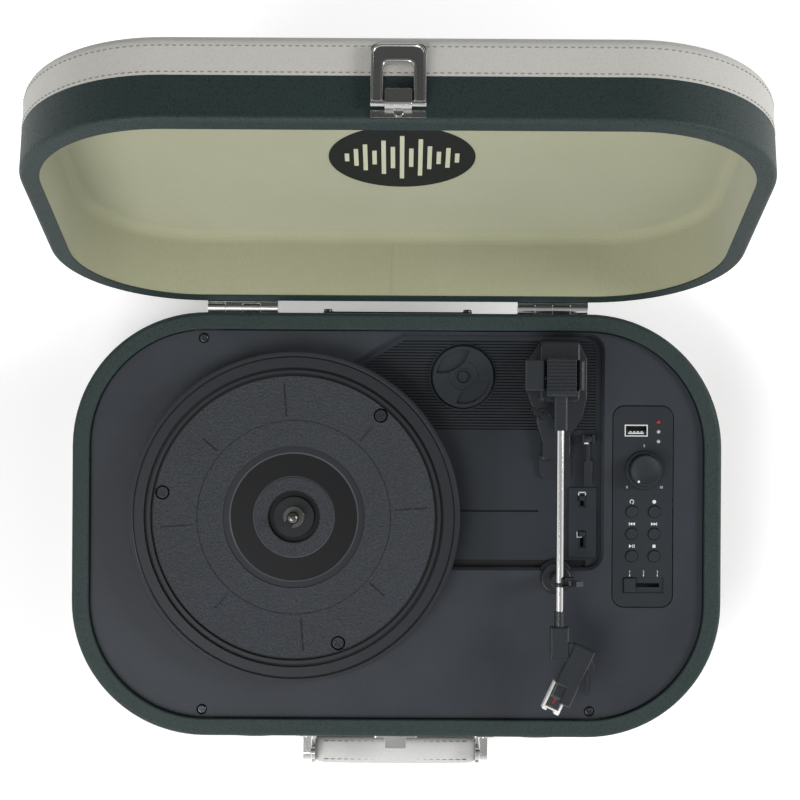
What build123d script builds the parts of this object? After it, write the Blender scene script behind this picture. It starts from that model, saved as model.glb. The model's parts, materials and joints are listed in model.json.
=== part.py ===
from build123d import *
import copy
import os
from math import atan2, cos, degrees, hypot, radians, sin, sqrt, tan

# Suitcase record player, lid open. X runs to the right, Y to the back, Z up, millimetres.
# It is drawn about the middle of the base and moved at the end, so that the finished
# object stands on Z = 0 with its origin under the middle of its whole box.

# ---------------------------------------------------------------- driving dimensions
# case
case_width = 388.0
case_depth = 253.0
case_corner_radius = 80.0
base_height = 68.0            # covered case wall, without the feet
lid_height = 46.2
wall_thickness = 8.0          # bent ply ring
cover_thickness = 0.8         # leatherette, binding
lip_thickness = 1.5           # folded cover or lining inside the wall
board_thickness = 4.0         # bottom board and lid board
edge_radius = 6.0             # rounded outer edges of the closed case
binding_width = 23.8          # pale binding on the lid's wall
base_binding_width = 14.0     # and at the foot of the base
binding_return = 16.0         # binding folded over the bottom and the top
lining_thickness = 1.2
lining_corner_radius = 7.0
cover_tuck = 5.0              # cover folded down inside the base wall
lid_gap = 0.4                 # between the closed rims
lid_open_angle = 107.2
rim_round = 2.5               # soft outer edge of both rims
lip_round = 1.0               # and of the lip inside

# feet
foot_height = 6.0
foot_radius = 10.0
foot_from_side = 54.0
foot_from_end = 42.0
foot_screw_sink = 3.0         # screw head up inside the foot

# corner blocks and screws
block_size = 14.0
block_from_side = 78.0
block_from_end = 15.3
back_block_from_side = 44.0   # the right back block clears the mechanism plate
back_block_from_back = 34.0
screw_head_radius = 3.6
screw_head_height = 1.6
screw_shank_radius = 1.5
small_head_radius = 2.6
small_shank_radius = 1.3
foot_screw_length = 6.5
board_screw_length = 16.0
deck_screw_length = 14.0

# deck
deck_drop = 4.0               # deck top under the rim
deck_thickness = 3.0
deck_gap = 0.4
recess_depth = 4.0            # deck top to the mechanism plate's floor
recess_chamfer = 1.8
recess_back_margin = 12.9     # case back to the recess edge
recess_right_margin = 71.5
recess_length = 138.9
recess_corner_radius = 9.0
recess_slant_start = 191.3    # case right side to where the slanted edge begins
recess_slant_angle = 31.6
well_radius = 92.0            # round opening under the platter
mech_thickness = 3.0
mech_flange = 6.0
rib_pitch = 1.75
rib_gap = 0.7                 # groove between two ribs
rib_depth = 1.0
rib_border = 3.2
rib_field_length = 58.6
rib_clear = 0.8               # from the grooves to the adapter's seat
band_length = 46.0
band_drop = 0.5
fold_width = 1.2              # crease at the foot of the band
fold_depth = 0.9
groove_width = 4.2
groove_depth = 1.8

# platter and drive
spindle_from_left = 133.2
spindle_from_back = 121.5
spindle_radius = 3.6
spindle_rise = 13.0           # above the platter
spindle_dome = 3.0
running_clearance = 0.05
platter_radius = 98.4
platter_rise = 15.0           # platter top over the deck
platter_thickness = 4.0
platter_skirt = 2.0
platter_gap = 1.8             # skirt over the deck
hub_radius = 12.0
hub_length = 10.4
ring_groove_radius = 94.9
ring_groove_width = 0.8
edge_groove_radius = 87.9
edge_groove_width = 1.9
mat_groove_radius = 84.1
mat_groove_width = 1.3
mat_drop = 0.4                # grained disc under the outer ring
label_outer_radius = 42.0
label_inner_radius = 23.5
label_depth = 1.1
label_step_radius = 37.4
hub_groove_outer = 15.0
hub_groove_depth = 2.4
mat_circle_radius = 57.3
mark_width = 1.1
mark_depth = 0.6
mark_inner_radius = 60.0
long_mark_outer_radius = 79.0
short_mark_outer_radius = 71.0
platter_turn = 4.4            # how the platter stands at rest
platter_screw_circle = 79.1
platter_screw_turn = 49.7
platter_screw_radius = 3.8
platter_screw_hole = 4.3
platter_screw_sink = 1.0
belt_rim_radius = 64.0
belt_rim_wall = 2.0
drive_flange_radius = 83.0
drive_flange_thickness = 2.0
drive_boss_height = 2.8
drive_rim_length = 9.0
pulley_distance = 76.0
pulley_angle = 205.0
pulley_radius = 4.0
pulley_flange = 1.0
pulley_height = 5.8
pulley_lift = 3.6             # pulley bottom over the mechanism plate's floor
motor_shaft_radius = 1.0
motor_radius = 16.0
motor_length = 18.0
motor_boss_radius = 5.0
motor_boss_height = 2.0
motor_screw_spacing = 18.0
belt_width = 4.0
belt_thickness = 0.6
clip_radius = 6.2
clip_thickness = 0.8
clip_groove = 0.5
boss_radius = 9.0

# 45 adapter
adapter_from_right = 154.6
adapter_from_back = 37.7
adapter_radius = 18.6
adapter_height = 5.5
adapter_hole_radius = 3.75
adapter_peg_radius = 3.4
adapter_seat_gap = 0.8
adapter_pocket_depth = 1.6
scoop_outer_radius = 16.3      # finger scoops: inside this circle
scoop_radius = 18.5            # and inside a second one off to the side
scoop_offset = 24.8
scoop_angle = 124.0
scoop_depth = 2.4
adapter_ridge_radius = 9.0

# tonearm
pivot_from_right = 98.4
pivot_from_back = 38.5
arm_rise = 14.0               # arm tube over the platter's top
arm_base_height = 6.0
arm_base_outline = [          # from the pivot
    (-18.6, 11.0), (-18.6, -8.0), (-15.1, -18.0), (-9.2, -38.0), (-9.2, -49.0),
    (8.4, -49.0), (8.4, -34.0), (15.5, -24.0), (18.2, -12.0), (18.2, 12.0), (12.9, 23.0), (-10.1, 23.0),
]
arm_base_corner = 2.5
foot_plate_height = 2.4        # low step in front of the plinth
foot_plate_end = 60.0
foot_plate_inset = 2.2
turret_left = 11.0
turret_right = 12.4
turret_front = 14.0
turret_back = 21.5
turret_height = 20.0
journal_radius = 5.0
journal_length = 15.0
yoke_floor = 3.7
yoke_gap = 0.3
ear_left_width = 11.2
ear_right_width = 3.6
ear_front = 7.5
ear_back = 10.5
ear_height = 15.0
block_half_width = 8.6
block_front = 11.0
block_back = 11.7
block_above = 8.5
block_below = 5.0
block_side_gap = 1.2
block_rib_pitch = 2.0
block_rib_depth = 0.7
arm_pin_radius = 1.5
stub_half_width = 3.8
stub_end = 30.8
tube_radius = 2.35
tube_wall = 0.5
head_block_back = 45.74        # stylus to the back of the head's block
overhang = 14.0               # stylus beyond the spindle
stylus_side = 2.6             # stylus beside the tube's axis at rest
collar_radius = 3.0
collar_length = 9.0
head_block_width = 10.7
head_block_length = 18.5
head_block_height = 8.0
head_angle = 25.0
head_left = 4.8               # shell's sides from the stylus
head_right = 8.2
head_rear = 38.0
head_front = 12.0
head_nose_left = 1.8          # narrower nose that reaches further forward on the right
head_nose_front = 2.2
head_wall = 1.0
head_roof = 2.5
head_depth = 6.0
finger_lift_width = 7.6
finger_lift_length = 16.0
finger_lift_thickness = 1.4
finger_ridge = 1.6            # upright lip along the finger lift
cartridge_width = 7.4
cartridge_front_gap = 0.3     # from the nose's front wall
cartridge_rear = 22.0
cartridge_height = 9.5
stylus_clear = 2.0            # stylus tip over the bare platter: a record's thickness
stylus_holder_height = 1.7
stylus_holder_width = 6.0
stylus_holder_length = 12.0
guard_wall = 1.25
guard_block = 3.0             # corner blocks of its front bar
guard_bar = 1.0               # thin bar between them
guard_front = 5.5
guard_rear = 12.0
guard_height = 7.6
guard_gap = 0.5

# arm rest and clip
rest_behind_head = 16.8        # from the head's collar
rest_ear_margin = 1.5          # deck left round the rest's base
rest_base_radius = 9.5
rest_base_height = 2.0
rest_post_radius = 4.6
rest_spigot_radius = 4.0
cradle_gap = 0.35
cradle_floor = 3.0
cradle_wall = 2.2
cradle_width = 6.0
clip_strap = 3.0
clip_strap_thickness = 1.3
clip_open_angle = 120.0
clip_pin_radius = 0.9
clip_gap = 0.2

# lift bar and cueing lever
lift_bar_radius = 24.0
lift_bar_width = 2.2
lift_bar_height = 2.0
lift_bar_start = 226.0
lift_bar_end = 278.0
lift_post_angle = 248.0
lift_post_radius = 2.0
lift_boss_radius = 4.0
lift_boss_height = 8.0
lift_gap = 0.3
arm_lift_angle = 4.0
lever_from_right = 79.5
lever_from_back = 74.5
lever_length = 28.0
lever_stem_length = 14.0
lever_stem = 2.2
lever_paddle = 5.0
lever_hub_radius = 2.5
lever_hub_width = 4.0
lever_pin_radius = 1.2
lever_ear = 1.5

# small switches on the mechanism plate
switch_plate_width = 16.7
switch_plate_from_right = 74.0
switch_plate_from_back = 104.0
switch_plate_length = 41.9
switch_plate_height = 1.2
switch_column_from_right = 82.7
stop_slot_from_back = 108.2
stop_travel = 3.6
speed_slot_from_back = 129.8
speed_travel = 6.6
knob_width = 4.0
knob_length = 3.2
knob_height = 2.4
knob_gap = 0.3
knob_stem = 1.6

# control panel
panel_width = 36.1
panel_length = 120.5
panel_corner_radius = 7.0
panel_from_right = 28.6
panel_from_back = 54.6
panel_thickness = 2.0
panel_ledge = 2.5
panel_gap = 0.35
board_drop = 12.4             # control board's top under the deck top
pcb_thickness = 1.6
usb_width = 14.3
usb_height = 7.5
usb_wall = 0.7
usb_tongue = 1.9
usb_from_left = 14.0          # panel's left edge to the socket's middle
usb_from_top = 14.8
lamp_radius = 1.15
lamp_from_left = 27.3
lamp_first_from_top = 9.6
lamp_pitch = 5.8
knob_from_left = 18.8
knob_from_top = 38.5
volume_radius = 9.85
volume_skirt_radius = 11.75
volume_height = 9.0
volume_skirt = 1.6
volume_lift = 0.4
pot_radius = 8.5
pot_height = 8.0
pot_shaft_radius = 3.0
button_radius = 3.5
button_gap = 0.2
button_rise = 1.0
button_travel = 1.0
button_left_column = 11.6
button_column_pitch = 13.4
button_first_row = 63.3
button_row_pitch = 13.3
tact_size = 6.0
mode_width = 24.2
mode_height = 9.3
mode_from_left = 18.7
mode_from_top = 107.4
mode_recess = 1.0
mode_knob_length = 7.2
mode_knob_rise = 1.4
mode_slot = 2.4

# inside
main_board_width = 96.0
main_board_depth = 58.0
main_board_lift = 6.0
main_board_from_back = 24.0
sink_from_left = 14.0         # heat sink
sink_from_back = 6.0
sink_length = 30.0
sink_thickness = 6.0
sink_height = 18.0
coil_from_left = 16.0
coil_from_front = 14.0
coil_size = 8.0
coil_height = 9.0
capacitor_pitch = 13.0
capacitor_from_back = 14.0
capacitor_radius = 4.0
capacitor_height = 13.0
chip_left = 4.0
chip_size = 12.0
chip_height = 1.6
plug_from_right = 20.0
plug_from_front = 10.0
plug_width = 10.0
plug_length = 20.0
plug_height = 7.0
speaker_from_corner = 29.5     # speaker's middle to where the case's corner begins
speaker_height = 38.0         # above the case's underside
speaker_radius = 21.0
speaker_flange = 3.0
speaker_depth = 14.0
speaker_plate = 1.5
cone_depth = 9.0
magnet_radius = 15.0
magnet_length = 9.0
grille_thickness = 1.2
grille_rim = 2.5
grille_slot = 2.2
grille_pitch = 4.6

# back sockets
rear_plate_width = 90.0       # flange of the socket tray
rear_plate_height = 34.0
rear_plate_rim = 5.5
rear_plate_thickness = 1.5
rear_tray_depth = 9.0         # sockets stand in a tray let into the wall
rear_tray_wall = 1.2
rear_tray_gap = 0.3
rear_plate_above = 34.0       # its middle above the case's underside
rca_radius = 4.15
rca_length = 8.0
rca_neck_radius = 5.0
rca_neck_rise = 0.5
rca_bore_radius = 1.7
jack_pitch = 15.0
aux_outer_radius = 4.0
aux_bore_radius = 1.8
aux_length = 10.0
dc_outer_radius = 5.5
dc_bore_radius = 2.8
dc_pin_radius = 1.05
dc_length = 10.0

# hinges
hinge_offset = 92.5
hinge_length = 42.0
hinge_behind = 3.0            # axis behind the case's back
hinge_below = 2.0             # axis under the base's rim
barrel_radius = 2.9
hinge_pin_radius = 1.4
leaf_thickness = 1.2
leaf_height = 18.0
leaf_relief = 0.15            # lid leaf clear of the base's wall
knuckles = 4
knuckle_gap = 0.3

# latch
hasp_width = 26.7
hasp_length = 31.0
hasp_thickness = 2.2
hasp_window_width = 14.6
hasp_window_end = 21.6        # from its hinge bar
hasp_rise = 7.6               # hasp hinge over the lid's rim
hasp_stand_off = 3.3
hasp_bar_radius = 1.5
latch_strip_width = 13.0
latch_strip_low = 1.5         # strip's foot over the lid's rim
latch_foot_height = 3.6       # wide foot of the strip
latch_tongue_rise = 6.8       # folded end over the hinge bar
latch_roll_radius = 2.7
latch_strip_thickness = 1.0
latch_rivet_radius = 2.4
latch_rivet_height = 1.2
keeper_width = 26.0
keeper_plate_height = 17.0
keeper_thickness = 1.0
keeper_drop = 2.5
hook_width = 12.6
hook_reach = 8.0
hook_thickness = 2.4
hook_below_rim = 6.5
hook_lip = 3.0

# handle
handle_stand_off = 12.5       # pivot in front of the case
handle_drop = 20.0            # pivot under the rim
handle_swing = 95.0
handle_to_grille = 1.15
grip_thickness = 18.0
grip_height = 27.0
grip_below = 5.0              # grip's top under the pivot
link_thickness = 2.2
link_width = 13.0
link_gap = 0.4
post_thickness = 4.5
post_plate_height = 22.0
post_plate_thickness = 1.5
post_width = 13.0
handle_pin_radius = 1.8

# ---------------------------------------------------------------- worked-out places
half_width = case_width / 2
half_depth = case_depth / 2
speaker_offset = half_width - case_corner_radius - speaker_from_corner
base_bottom = foot_height
rim = base_bottom + base_height
rim_width = cover_thickness + wall_thickness + lip_thickness
inner_wall = cover_thickness + wall_thickness
deck_top = rim - deck_drop
deck_bottom = deck_top - deck_thickness
floor_top = deck_top - recess_depth
mech_bottom = floor_top - mech_thickness
board_top = base_bottom + cover_thickness + board_thickness
cover_bottom = base_bottom + base_binding_width

spindle_x = -half_width + spindle_from_left
spindle_y = half_depth - spindle_from_back
platter_top = deck_top + platter_rise
platter_under = platter_top - platter_thickness
pulley_x = spindle_x + pulley_distance * cos(radians(pulley_angle))
pulley_y = spindle_y + pulley_distance * sin(radians(pulley_angle))

pivot_x = half_width - pivot_from_right
pivot_y = half_depth - pivot_from_back
arm_z = platter_top + arm_rise
pivot_distance = hypot(pivot_x - spindle_x, pivot_y - spindle_y)
arm_length = pivot_distance + overhang
stylus_x = pivot_x - stylus_side
stylus_y = pivot_y - sqrt(arm_length ** 2 - stylus_side ** 2)
stylus_z = platter_top + stylus_clear
turret_top = floor_top + turret_height
yoke_bottom = turret_top + yoke_gap
block_bottom = arm_z - block_below
stub_bottom = arm_z - stub_half_width
bar_top = stub_bottom - lift_gap
lift_travel = lift_bar_radius * tan(radians(arm_lift_angle))
head_block_y = stylus_y + head_block_back
rest_x = pivot_x
rest_y = head_block_y + collar_length + rest_behind_head
cradle_z = arm_z - tube_radius - cradle_gap
clip_axis_x = rest_x + tube_radius + cradle_gap + cradle_wall + 1.5
clip_axis_z = arm_z + tube_radius

lever_x = half_width - lever_from_right
lever_y = half_depth - lever_from_back
lever_z = floor_top + lever_hub_radius + 0.6

panel_left = half_width - panel_from_right - panel_width
panel_back = half_depth - panel_from_back
panel_x = panel_left + panel_width / 2
panel_y = panel_back - panel_length / 2
control_board_top = deck_top - board_drop
volume_x = panel_left + knob_from_left
volume_y = panel_back - knob_from_top
mode_x = panel_left + mode_from_left
mode_y = panel_back - mode_from_top
mode_travel = mode_width - mode_knob_length - 2 * knob_gap

hinge_y = half_depth + hinge_behind
hinge_z = rim - hinge_below
hinge_axis = Axis((0, hinge_y, hinge_z), (1, 0, 0))
lid_rim = rim + lid_gap
lid_top = lid_rim + lid_height
lid_inside = lid_top - cover_thickness - board_thickness - lining_thickness

front = -half_depth
back = half_depth
hasp_y = front - hasp_stand_off
hasp_z = lid_rim + hasp_rise
handle_y = front - handle_stand_off
handle_z = rim - handle_drop
grip_top = handle_z - grip_below
post_reach = speaker_offset - speaker_radius - grille_rim - handle_to_grille
post_in = post_reach - (post_width + post_thickness) / 2
post_out = post_in + post_thickness
link_out = post_in - link_gap
link_in = link_out - link_thickness
grip_length = 2 * link_in


# ---------------------------------------------------------------- shared shapes
def box(x0, x1, y0, y1, z0, z1):
    """Block between two corners."""
    size = Box(x1 - x0, y1 - y0, z1 - z0)
    return Pos((x0 + x1) / 2, (y0 + y1) / 2, (z0 + z1) / 2) * size


def upright(x, y, z0, z1, radius):
    """Round bar along Z."""
    return Pos(x, y, (z0 + z1) / 2) * Cylinder(radius, z1 - z0)


def cross_bar(x0, x1, y, z, radius):
    """Round bar along X."""
    return Pos((x0 + x1) / 2, y, z) * Rot(0, 90, 0) * Cylinder(radius, x1 - x0)


def through_bar(x, y0, y1, z, radius):
    """Round bar along Y."""
    return Pos(x, (y0 + y1) / 2, z) * Rot(90, 0, 0) * Cylinder(radius, y1 - y0)


def slab(inset, z0, z1):
    """The case's rounded plan, set in from its outer face, between two heights."""
    plan = RectangleRounded(
        case_width - 2 * inset, case_depth - 2 * inset, case_corner_radius - inset
    )
    return Pos(0, 0, z0) * extrude(plan, z1 - z0)


def low_edges(shape):
    return shape.edges().group_by(Axis.Z)[0]


def high_edges(shape):
    return shape.edges().group_by(Axis.Z)[-1]


def raised(plan, z0, z1):
    """A plan drawn up between two heights."""
    return Pos(0, 0, z0) * extrude(plan, z1 - z0, dir=(0, 0, 1))


def plate(points, z0, z1):
    """Flat plate with a straight-sided outline."""
    return raised(Polygon(*points, align=None), z0, z1)


def open_lid(shape):
    """Turn a piece drawn with the lid closed back to where it stands with the lid open."""
    return shape.rotate(hinge_axis, -lid_open_angle)


def screw(head_radius, shank_radius, length):
    """Screw hanging from Z = 0 with a rounded head on top and a cross recess in it."""
    head = Cylinder(head_radius, screw_head_height, align=(Align.CENTER, Align.CENTER, Align.MIN))
    head = fillet(high_edges(head), screw_head_height * 0.45)
    shank = Cylinder(shank_radius, length, align=(Align.CENTER, Align.CENTER, Align.MAX))
    slot = Pos(0, 0, screw_head_height) * Box(head_radius * 1.1, head_radius * 0.25, 1.0)
    return head + shank - slot - Rot(0, 0, 90) * slot


def group(shapes):
    """Several separate solids kept in one node."""
    return Compound(children=list(shapes))


nodes = {}

# ---------------------------------------------------------------- places of screws and holes
foot_places = [
    (sx * (half_width - foot_from_side), sy * (half_depth - foot_from_end))
    for sx in (-1, 1)
    for sy in (-1, 1)
]
deck_screw_places = [
    (-(half_width - block_from_side), half_depth - block_from_end),
    (-(half_width - block_from_side), -(half_depth - block_from_end)),
    (half_width - block_from_side, -(half_depth - block_from_end)),
]
back_block = (half_width - back_block_from_side, half_depth - back_block_from_back)
block_places = deck_screw_places + [back_block]
speaker_z = base_bottom + speaker_height
rear_z = base_bottom + rear_plate_above
rear_screw_x = (rear_plate_width - rear_plate_rim) / 2
rear_screw_z = (rear_plate_height - rear_plate_rim) / 2
recess_right = half_width - recess_right_margin
recess_top = half_depth - recess_back_margin
recess_bottom = recess_top - recess_length
flange_middle = mech_flange * 0.55
mech_screw_places = [
    (recess_right + flange_middle, recess_top - recess_length * 0.35),
    (recess_right + flange_middle, recess_top - recess_length * 0.85),
    (recess_right - recess_length * 0.45, recess_bottom - flange_middle),
    (spindle_x + (well_radius + flange_middle) * cos(radians(150)),
     spindle_y + (well_radius + flange_middle) * sin(radians(150))),
    (spindle_x + (well_radius + flange_middle) * cos(radians(240)),
     spindle_y + (well_radius + flange_middle) * sin(radians(240))),
]
motor_screw_places = [(pulley_x + s * motor_screw_spacing / 2, pulley_y) for s in (-1, 1)]
boss_inset = 6.0
boss_post_radius = 2.6
panel_boss_places = [
    (panel_x + sx * (panel_width / 2 - boss_inset), panel_y + sy * (panel_length / 2 - boss_inset))
    for sx in (-1, 1)
    for sy in (-1, 1)
]


def make_screws():
    """Every screw that holds the fixed pieces: feet, board, deck, mechanism plate, motor, panel."""
    shapes = []
    upward = Rot(180, 0, 0)
    panel_under = base_bottom + cover_thickness
    deck_pocket = deck_top - screw_head_height
    for x, y in foot_places:
        one = screw(screw_head_radius, screw_shank_radius, foot_screw_length)
        shapes.append(Pos(x, y, foot_screw_sink) * upward * one)
    for x, y in block_places:
        inward = y - 4.5 * (1 if y > 0 else -1)
        one = screw(screw_head_radius, screw_shank_radius, board_screw_length)
        shapes.append(Pos(x, inward, panel_under) * upward * one)
    for x, y in deck_screw_places:
        one = screw(small_head_radius, screw_shank_radius, deck_screw_length)
        shapes.append(Pos(x, y, deck_pocket) * one)
    for x, y in mech_screw_places:
        shapes.append(Pos(x, y, mech_bottom) * upward * screw(small_head_radius, small_shank_radius,
                                                             deck_top - mech_bottom - 0.8))
    for x, y in motor_screw_places:
        shapes.append(Pos(x, y, floor_top) * screw(small_head_radius, small_shank_radius, mech_thickness + 3))
    board_under = control_board_top - pcb_thickness
    for x in (-rear_screw_x, rear_screw_x):
        for z in (rear_z - rear_screw_z, rear_z + rear_screw_z):
            one = screw(small_head_radius, small_shank_radius, inner_wall)
            shapes.append(Pos(x, back + rear_plate_thickness, z) * Rot(-90, 0, 0) * one)
    for x, y in panel_boss_places:
        shapes.append(Pos(x, y, board_under) * upward * screw(small_head_radius, small_shank_radius, 7))
    return shapes


screws = make_screws()


def less_screws(shape):
    """Cut the screws' own holes."""
    for item in screws:
        shape = shape - item
    return shape


def speaker_places():
    return [-speaker_offset, speaker_offset]


def rear_window():
    """Opening through the back wall behind the socket plate."""
    w = rear_plate_width / 2 - rear_plate_rim
    h = rear_plate_height / 2 - rear_plate_rim
    return box(-w, w, back - inner_wall - 1, back + 1, rear_z - h, rear_z + h)


def wall_holes(shape):
    """Cut the speakers' holes and the socket window."""
    for x in speaker_places():
        shape = shape - through_bar(x, front - 1, front + inner_wall + 1, speaker_z, speaker_radius)
    return shape - rear_window()


# ---------------------------------------------------------------- base
def make_base_frame():
    """Bent ply ring with its four glued corner blocks."""
    ring = slab(cover_thickness, base_bottom + cover_thickness, rim - cover_thickness)
    ring = fillet(low_edges(ring), edge_radius - cover_thickness)
    ring = fillet(high_edges(ring), rim_round - cover_thickness)
    ring -= slab(inner_wall, base_bottom, rim)
    ring = wall_holes(ring)
    room = slab(inner_wall, board_top, deck_bottom)
    half = block_size / 2
    for x, y in block_places:
        near, far = (y - half, back) if y > 0 else (front, y + half)
        ring += box(x - half, x + half, near, far, board_top, deck_bottom) & room
    return less_screws(ring)


def make_base_cover():
    """Leatherette round the wall, over the rim and a little way down inside."""
    outer = fillet(high_edges(slab(0, cover_bottom, rim)), rim_round)
    inner = slab(cover_thickness, cover_bottom, rim - cover_thickness)
    cover = outer - fillet(high_edges(inner), rim_round - cover_thickness)
    cover -= slab(inner_wall, rim - cover_thickness, rim)
    cover += slab(inner_wall, rim - cover_tuck, rim) - slab(rim_width, rim - cover_tuck, rim)
    top = cover.faces().sort_by(Axis.Z)[-1]
    cover = fillet(top.inner_wires()[0].edges(), lip_round)
    return less_screws(wall_holes(cover))


def make_base_binding():
    """Pale edge binding round the foot of the base, folded under it."""
    outer = fillet(low_edges(slab(0, base_bottom, cover_bottom)), edge_radius)
    inner = slab(cover_thickness, base_bottom + cover_thickness, cover_bottom)
    inner = fillet(low_edges(inner), edge_radius - cover_thickness)
    return outer - inner - slab(binding_return, base_bottom, base_bottom + cover_thickness)


def make_bottom_panel():
    """Bottom board inside the ring."""
    return less_screws(slab(inner_wall, base_bottom + cover_thickness, board_top))


def make_feet():
    """Four moulded rubber feet, hollowed for their screws."""
    feet = []
    seat = base_bottom + cover_thickness
    for x, y in foot_places:
        foot = upright(x, y, 0, seat, foot_radius)
        foot = fillet(low_edges(foot), 1.2)
        foot -= upright(x, y, 0, foot_screw_sink, screw_head_radius + 0.6)
        feet.append(less_screws(foot))
    return group(feet)


nodes["base_frame"] = make_base_frame()
nodes["base_cover"] = make_base_cover()
nodes["base_binding"] = make_base_binding()
nodes["bottom_panel"] = make_bottom_panel()
nodes["feet"] = make_feet()


# ---------------------------------------------------------------- deck and mechanism plate
def recess_outline():
    """Plan of the opening in the deck: the platter's well and the tonearm's recess."""
    slant_x = half_width - recess_slant_start
    inner_x = spindle_x + well_radius * 0.2
    slant_y = recess_top - (slant_x - inner_x) * tan(radians(recess_slant_angle))
    corner_x = spindle_x + well_radius * 0.7
    arm_part = Polygon(
        (inner_x, slant_y),
        (corner_x, recess_bottom),
        (recess_right, recess_bottom),
        (recess_right, recess_top),
        (slant_x, recess_top),
        align=None,
    )
    right_corners = arm_part.vertices().group_by(Axis.X)[-1]
    arm_part = fillet(right_corners, recess_corner_radius)
    return arm_part + Pos(spindle_x, spindle_y) * Circle(well_radius)


def opening_plan():
    """The same opening with the ear left for the arm rest."""
    ear = rest_base_radius + rest_ear_margin
    root = recess_bottom - 2 * ear
    neck = Pos(rest_x, (root + rest_y) / 2) * Rectangle(2 * ear, rest_y - root)
    return recess_outline() - Pos(rest_x, rest_y) * Circle(ear) - neck


def panel_plan(inset):
    return Pos(panel_x, panel_y) * RectangleRounded(
        panel_width - 2 * inset, panel_length - 2 * inset, panel_corner_radius - inset
    )


def make_deck_plate():
    """Moulded deck with its big opening, the control panel's seat and the screw pockets."""
    deck = slab(rim_width + deck_gap, deck_bottom, deck_top)
    deck -= raised(opening_plan(), deck_bottom, deck_top)
    top = deck.faces().sort_by(Axis.Z)[-1]
    opening_edges = [edge for wire in top.inner_wires() for edge in wire.edges()]
    deck = chamfer(opening_edges, recess_chamfer)
    deck -= raised(panel_plan(-panel_gap), deck_top - panel_thickness, deck_top)
    deck -= raised(panel_plan(panel_ledge), deck_bottom, deck_top)
    for x, y in deck_screw_places:
        deck -= upright(x, y, deck_top - screw_head_height, deck_top, small_head_radius + 0.6)
    deck -= upright(rest_x, rest_y, deck_bottom, deck_top, rest_spigot_radius)
    return less_screws(deck)


def rib_field():
    """Plan of the grooves between the ribs of the mechanism plate, behind the platter."""
    area = offset(recess_outline(), -rib_border)
    area -= Pos(spindle_x, spindle_y) * Circle(well_radius + rib_border)
    area -= Pos(adapter_x, adapter_y) * Circle(adapter_radius + adapter_seat_gap + rib_clear)
    area -= Polygon(*[(pivot_x + dx, pivot_y + dy) for dx, dy in arm_base_outline], align=None)
    first = recess_top - rib_border - rib_gap / 2
    count = int((rib_field_length - rib_border) / rib_pitch)
    grooves = Sketch()
    for i in range(count):
        line = Rectangle(case_width, rib_gap)
        grooves += Pos(half_width - recess_slant_start, first - i * rib_pitch) * line
    return grooves & area


adapter_x = half_width - adapter_from_right
adapter_y = half_depth - adapter_from_back
switch_plate_right = half_width - switch_plate_from_right
switch_plate_top = half_depth - switch_plate_from_back
switch_x = half_width - switch_column_from_right
stop_slot_top = half_depth - stop_slot_from_back
speed_slot_top = half_depth - speed_slot_from_back
knob_seat = floor_top + switch_plate_height - 1.0
stop_knob_y = stop_slot_top - knob_gap - knob_length / 2
speed_knob_y = speed_slot_top - knob_gap - knob_length / 2


def switch_slot(top, travel):
    """Pocket for a knob and the narrow slot for its stem."""
    long = travel + knob_length + 2 * knob_gap
    half = knob_width / 2 + knob_gap
    pocket = box(switch_x - half, switch_x + half, top - long, top, knob_seat, deck_top)
    middle = top - long / 2
    reach = travel / 2 + knob_stem / 2 + knob_gap
    narrow = knob_stem / 2 + knob_gap
    slot = box(switch_x - narrow, switch_x + narrow, middle - reach, middle + reach,
               mech_bottom - 4, deck_top)
    return pocket + slot


hub_bottom = platter_under - hub_length


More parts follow.
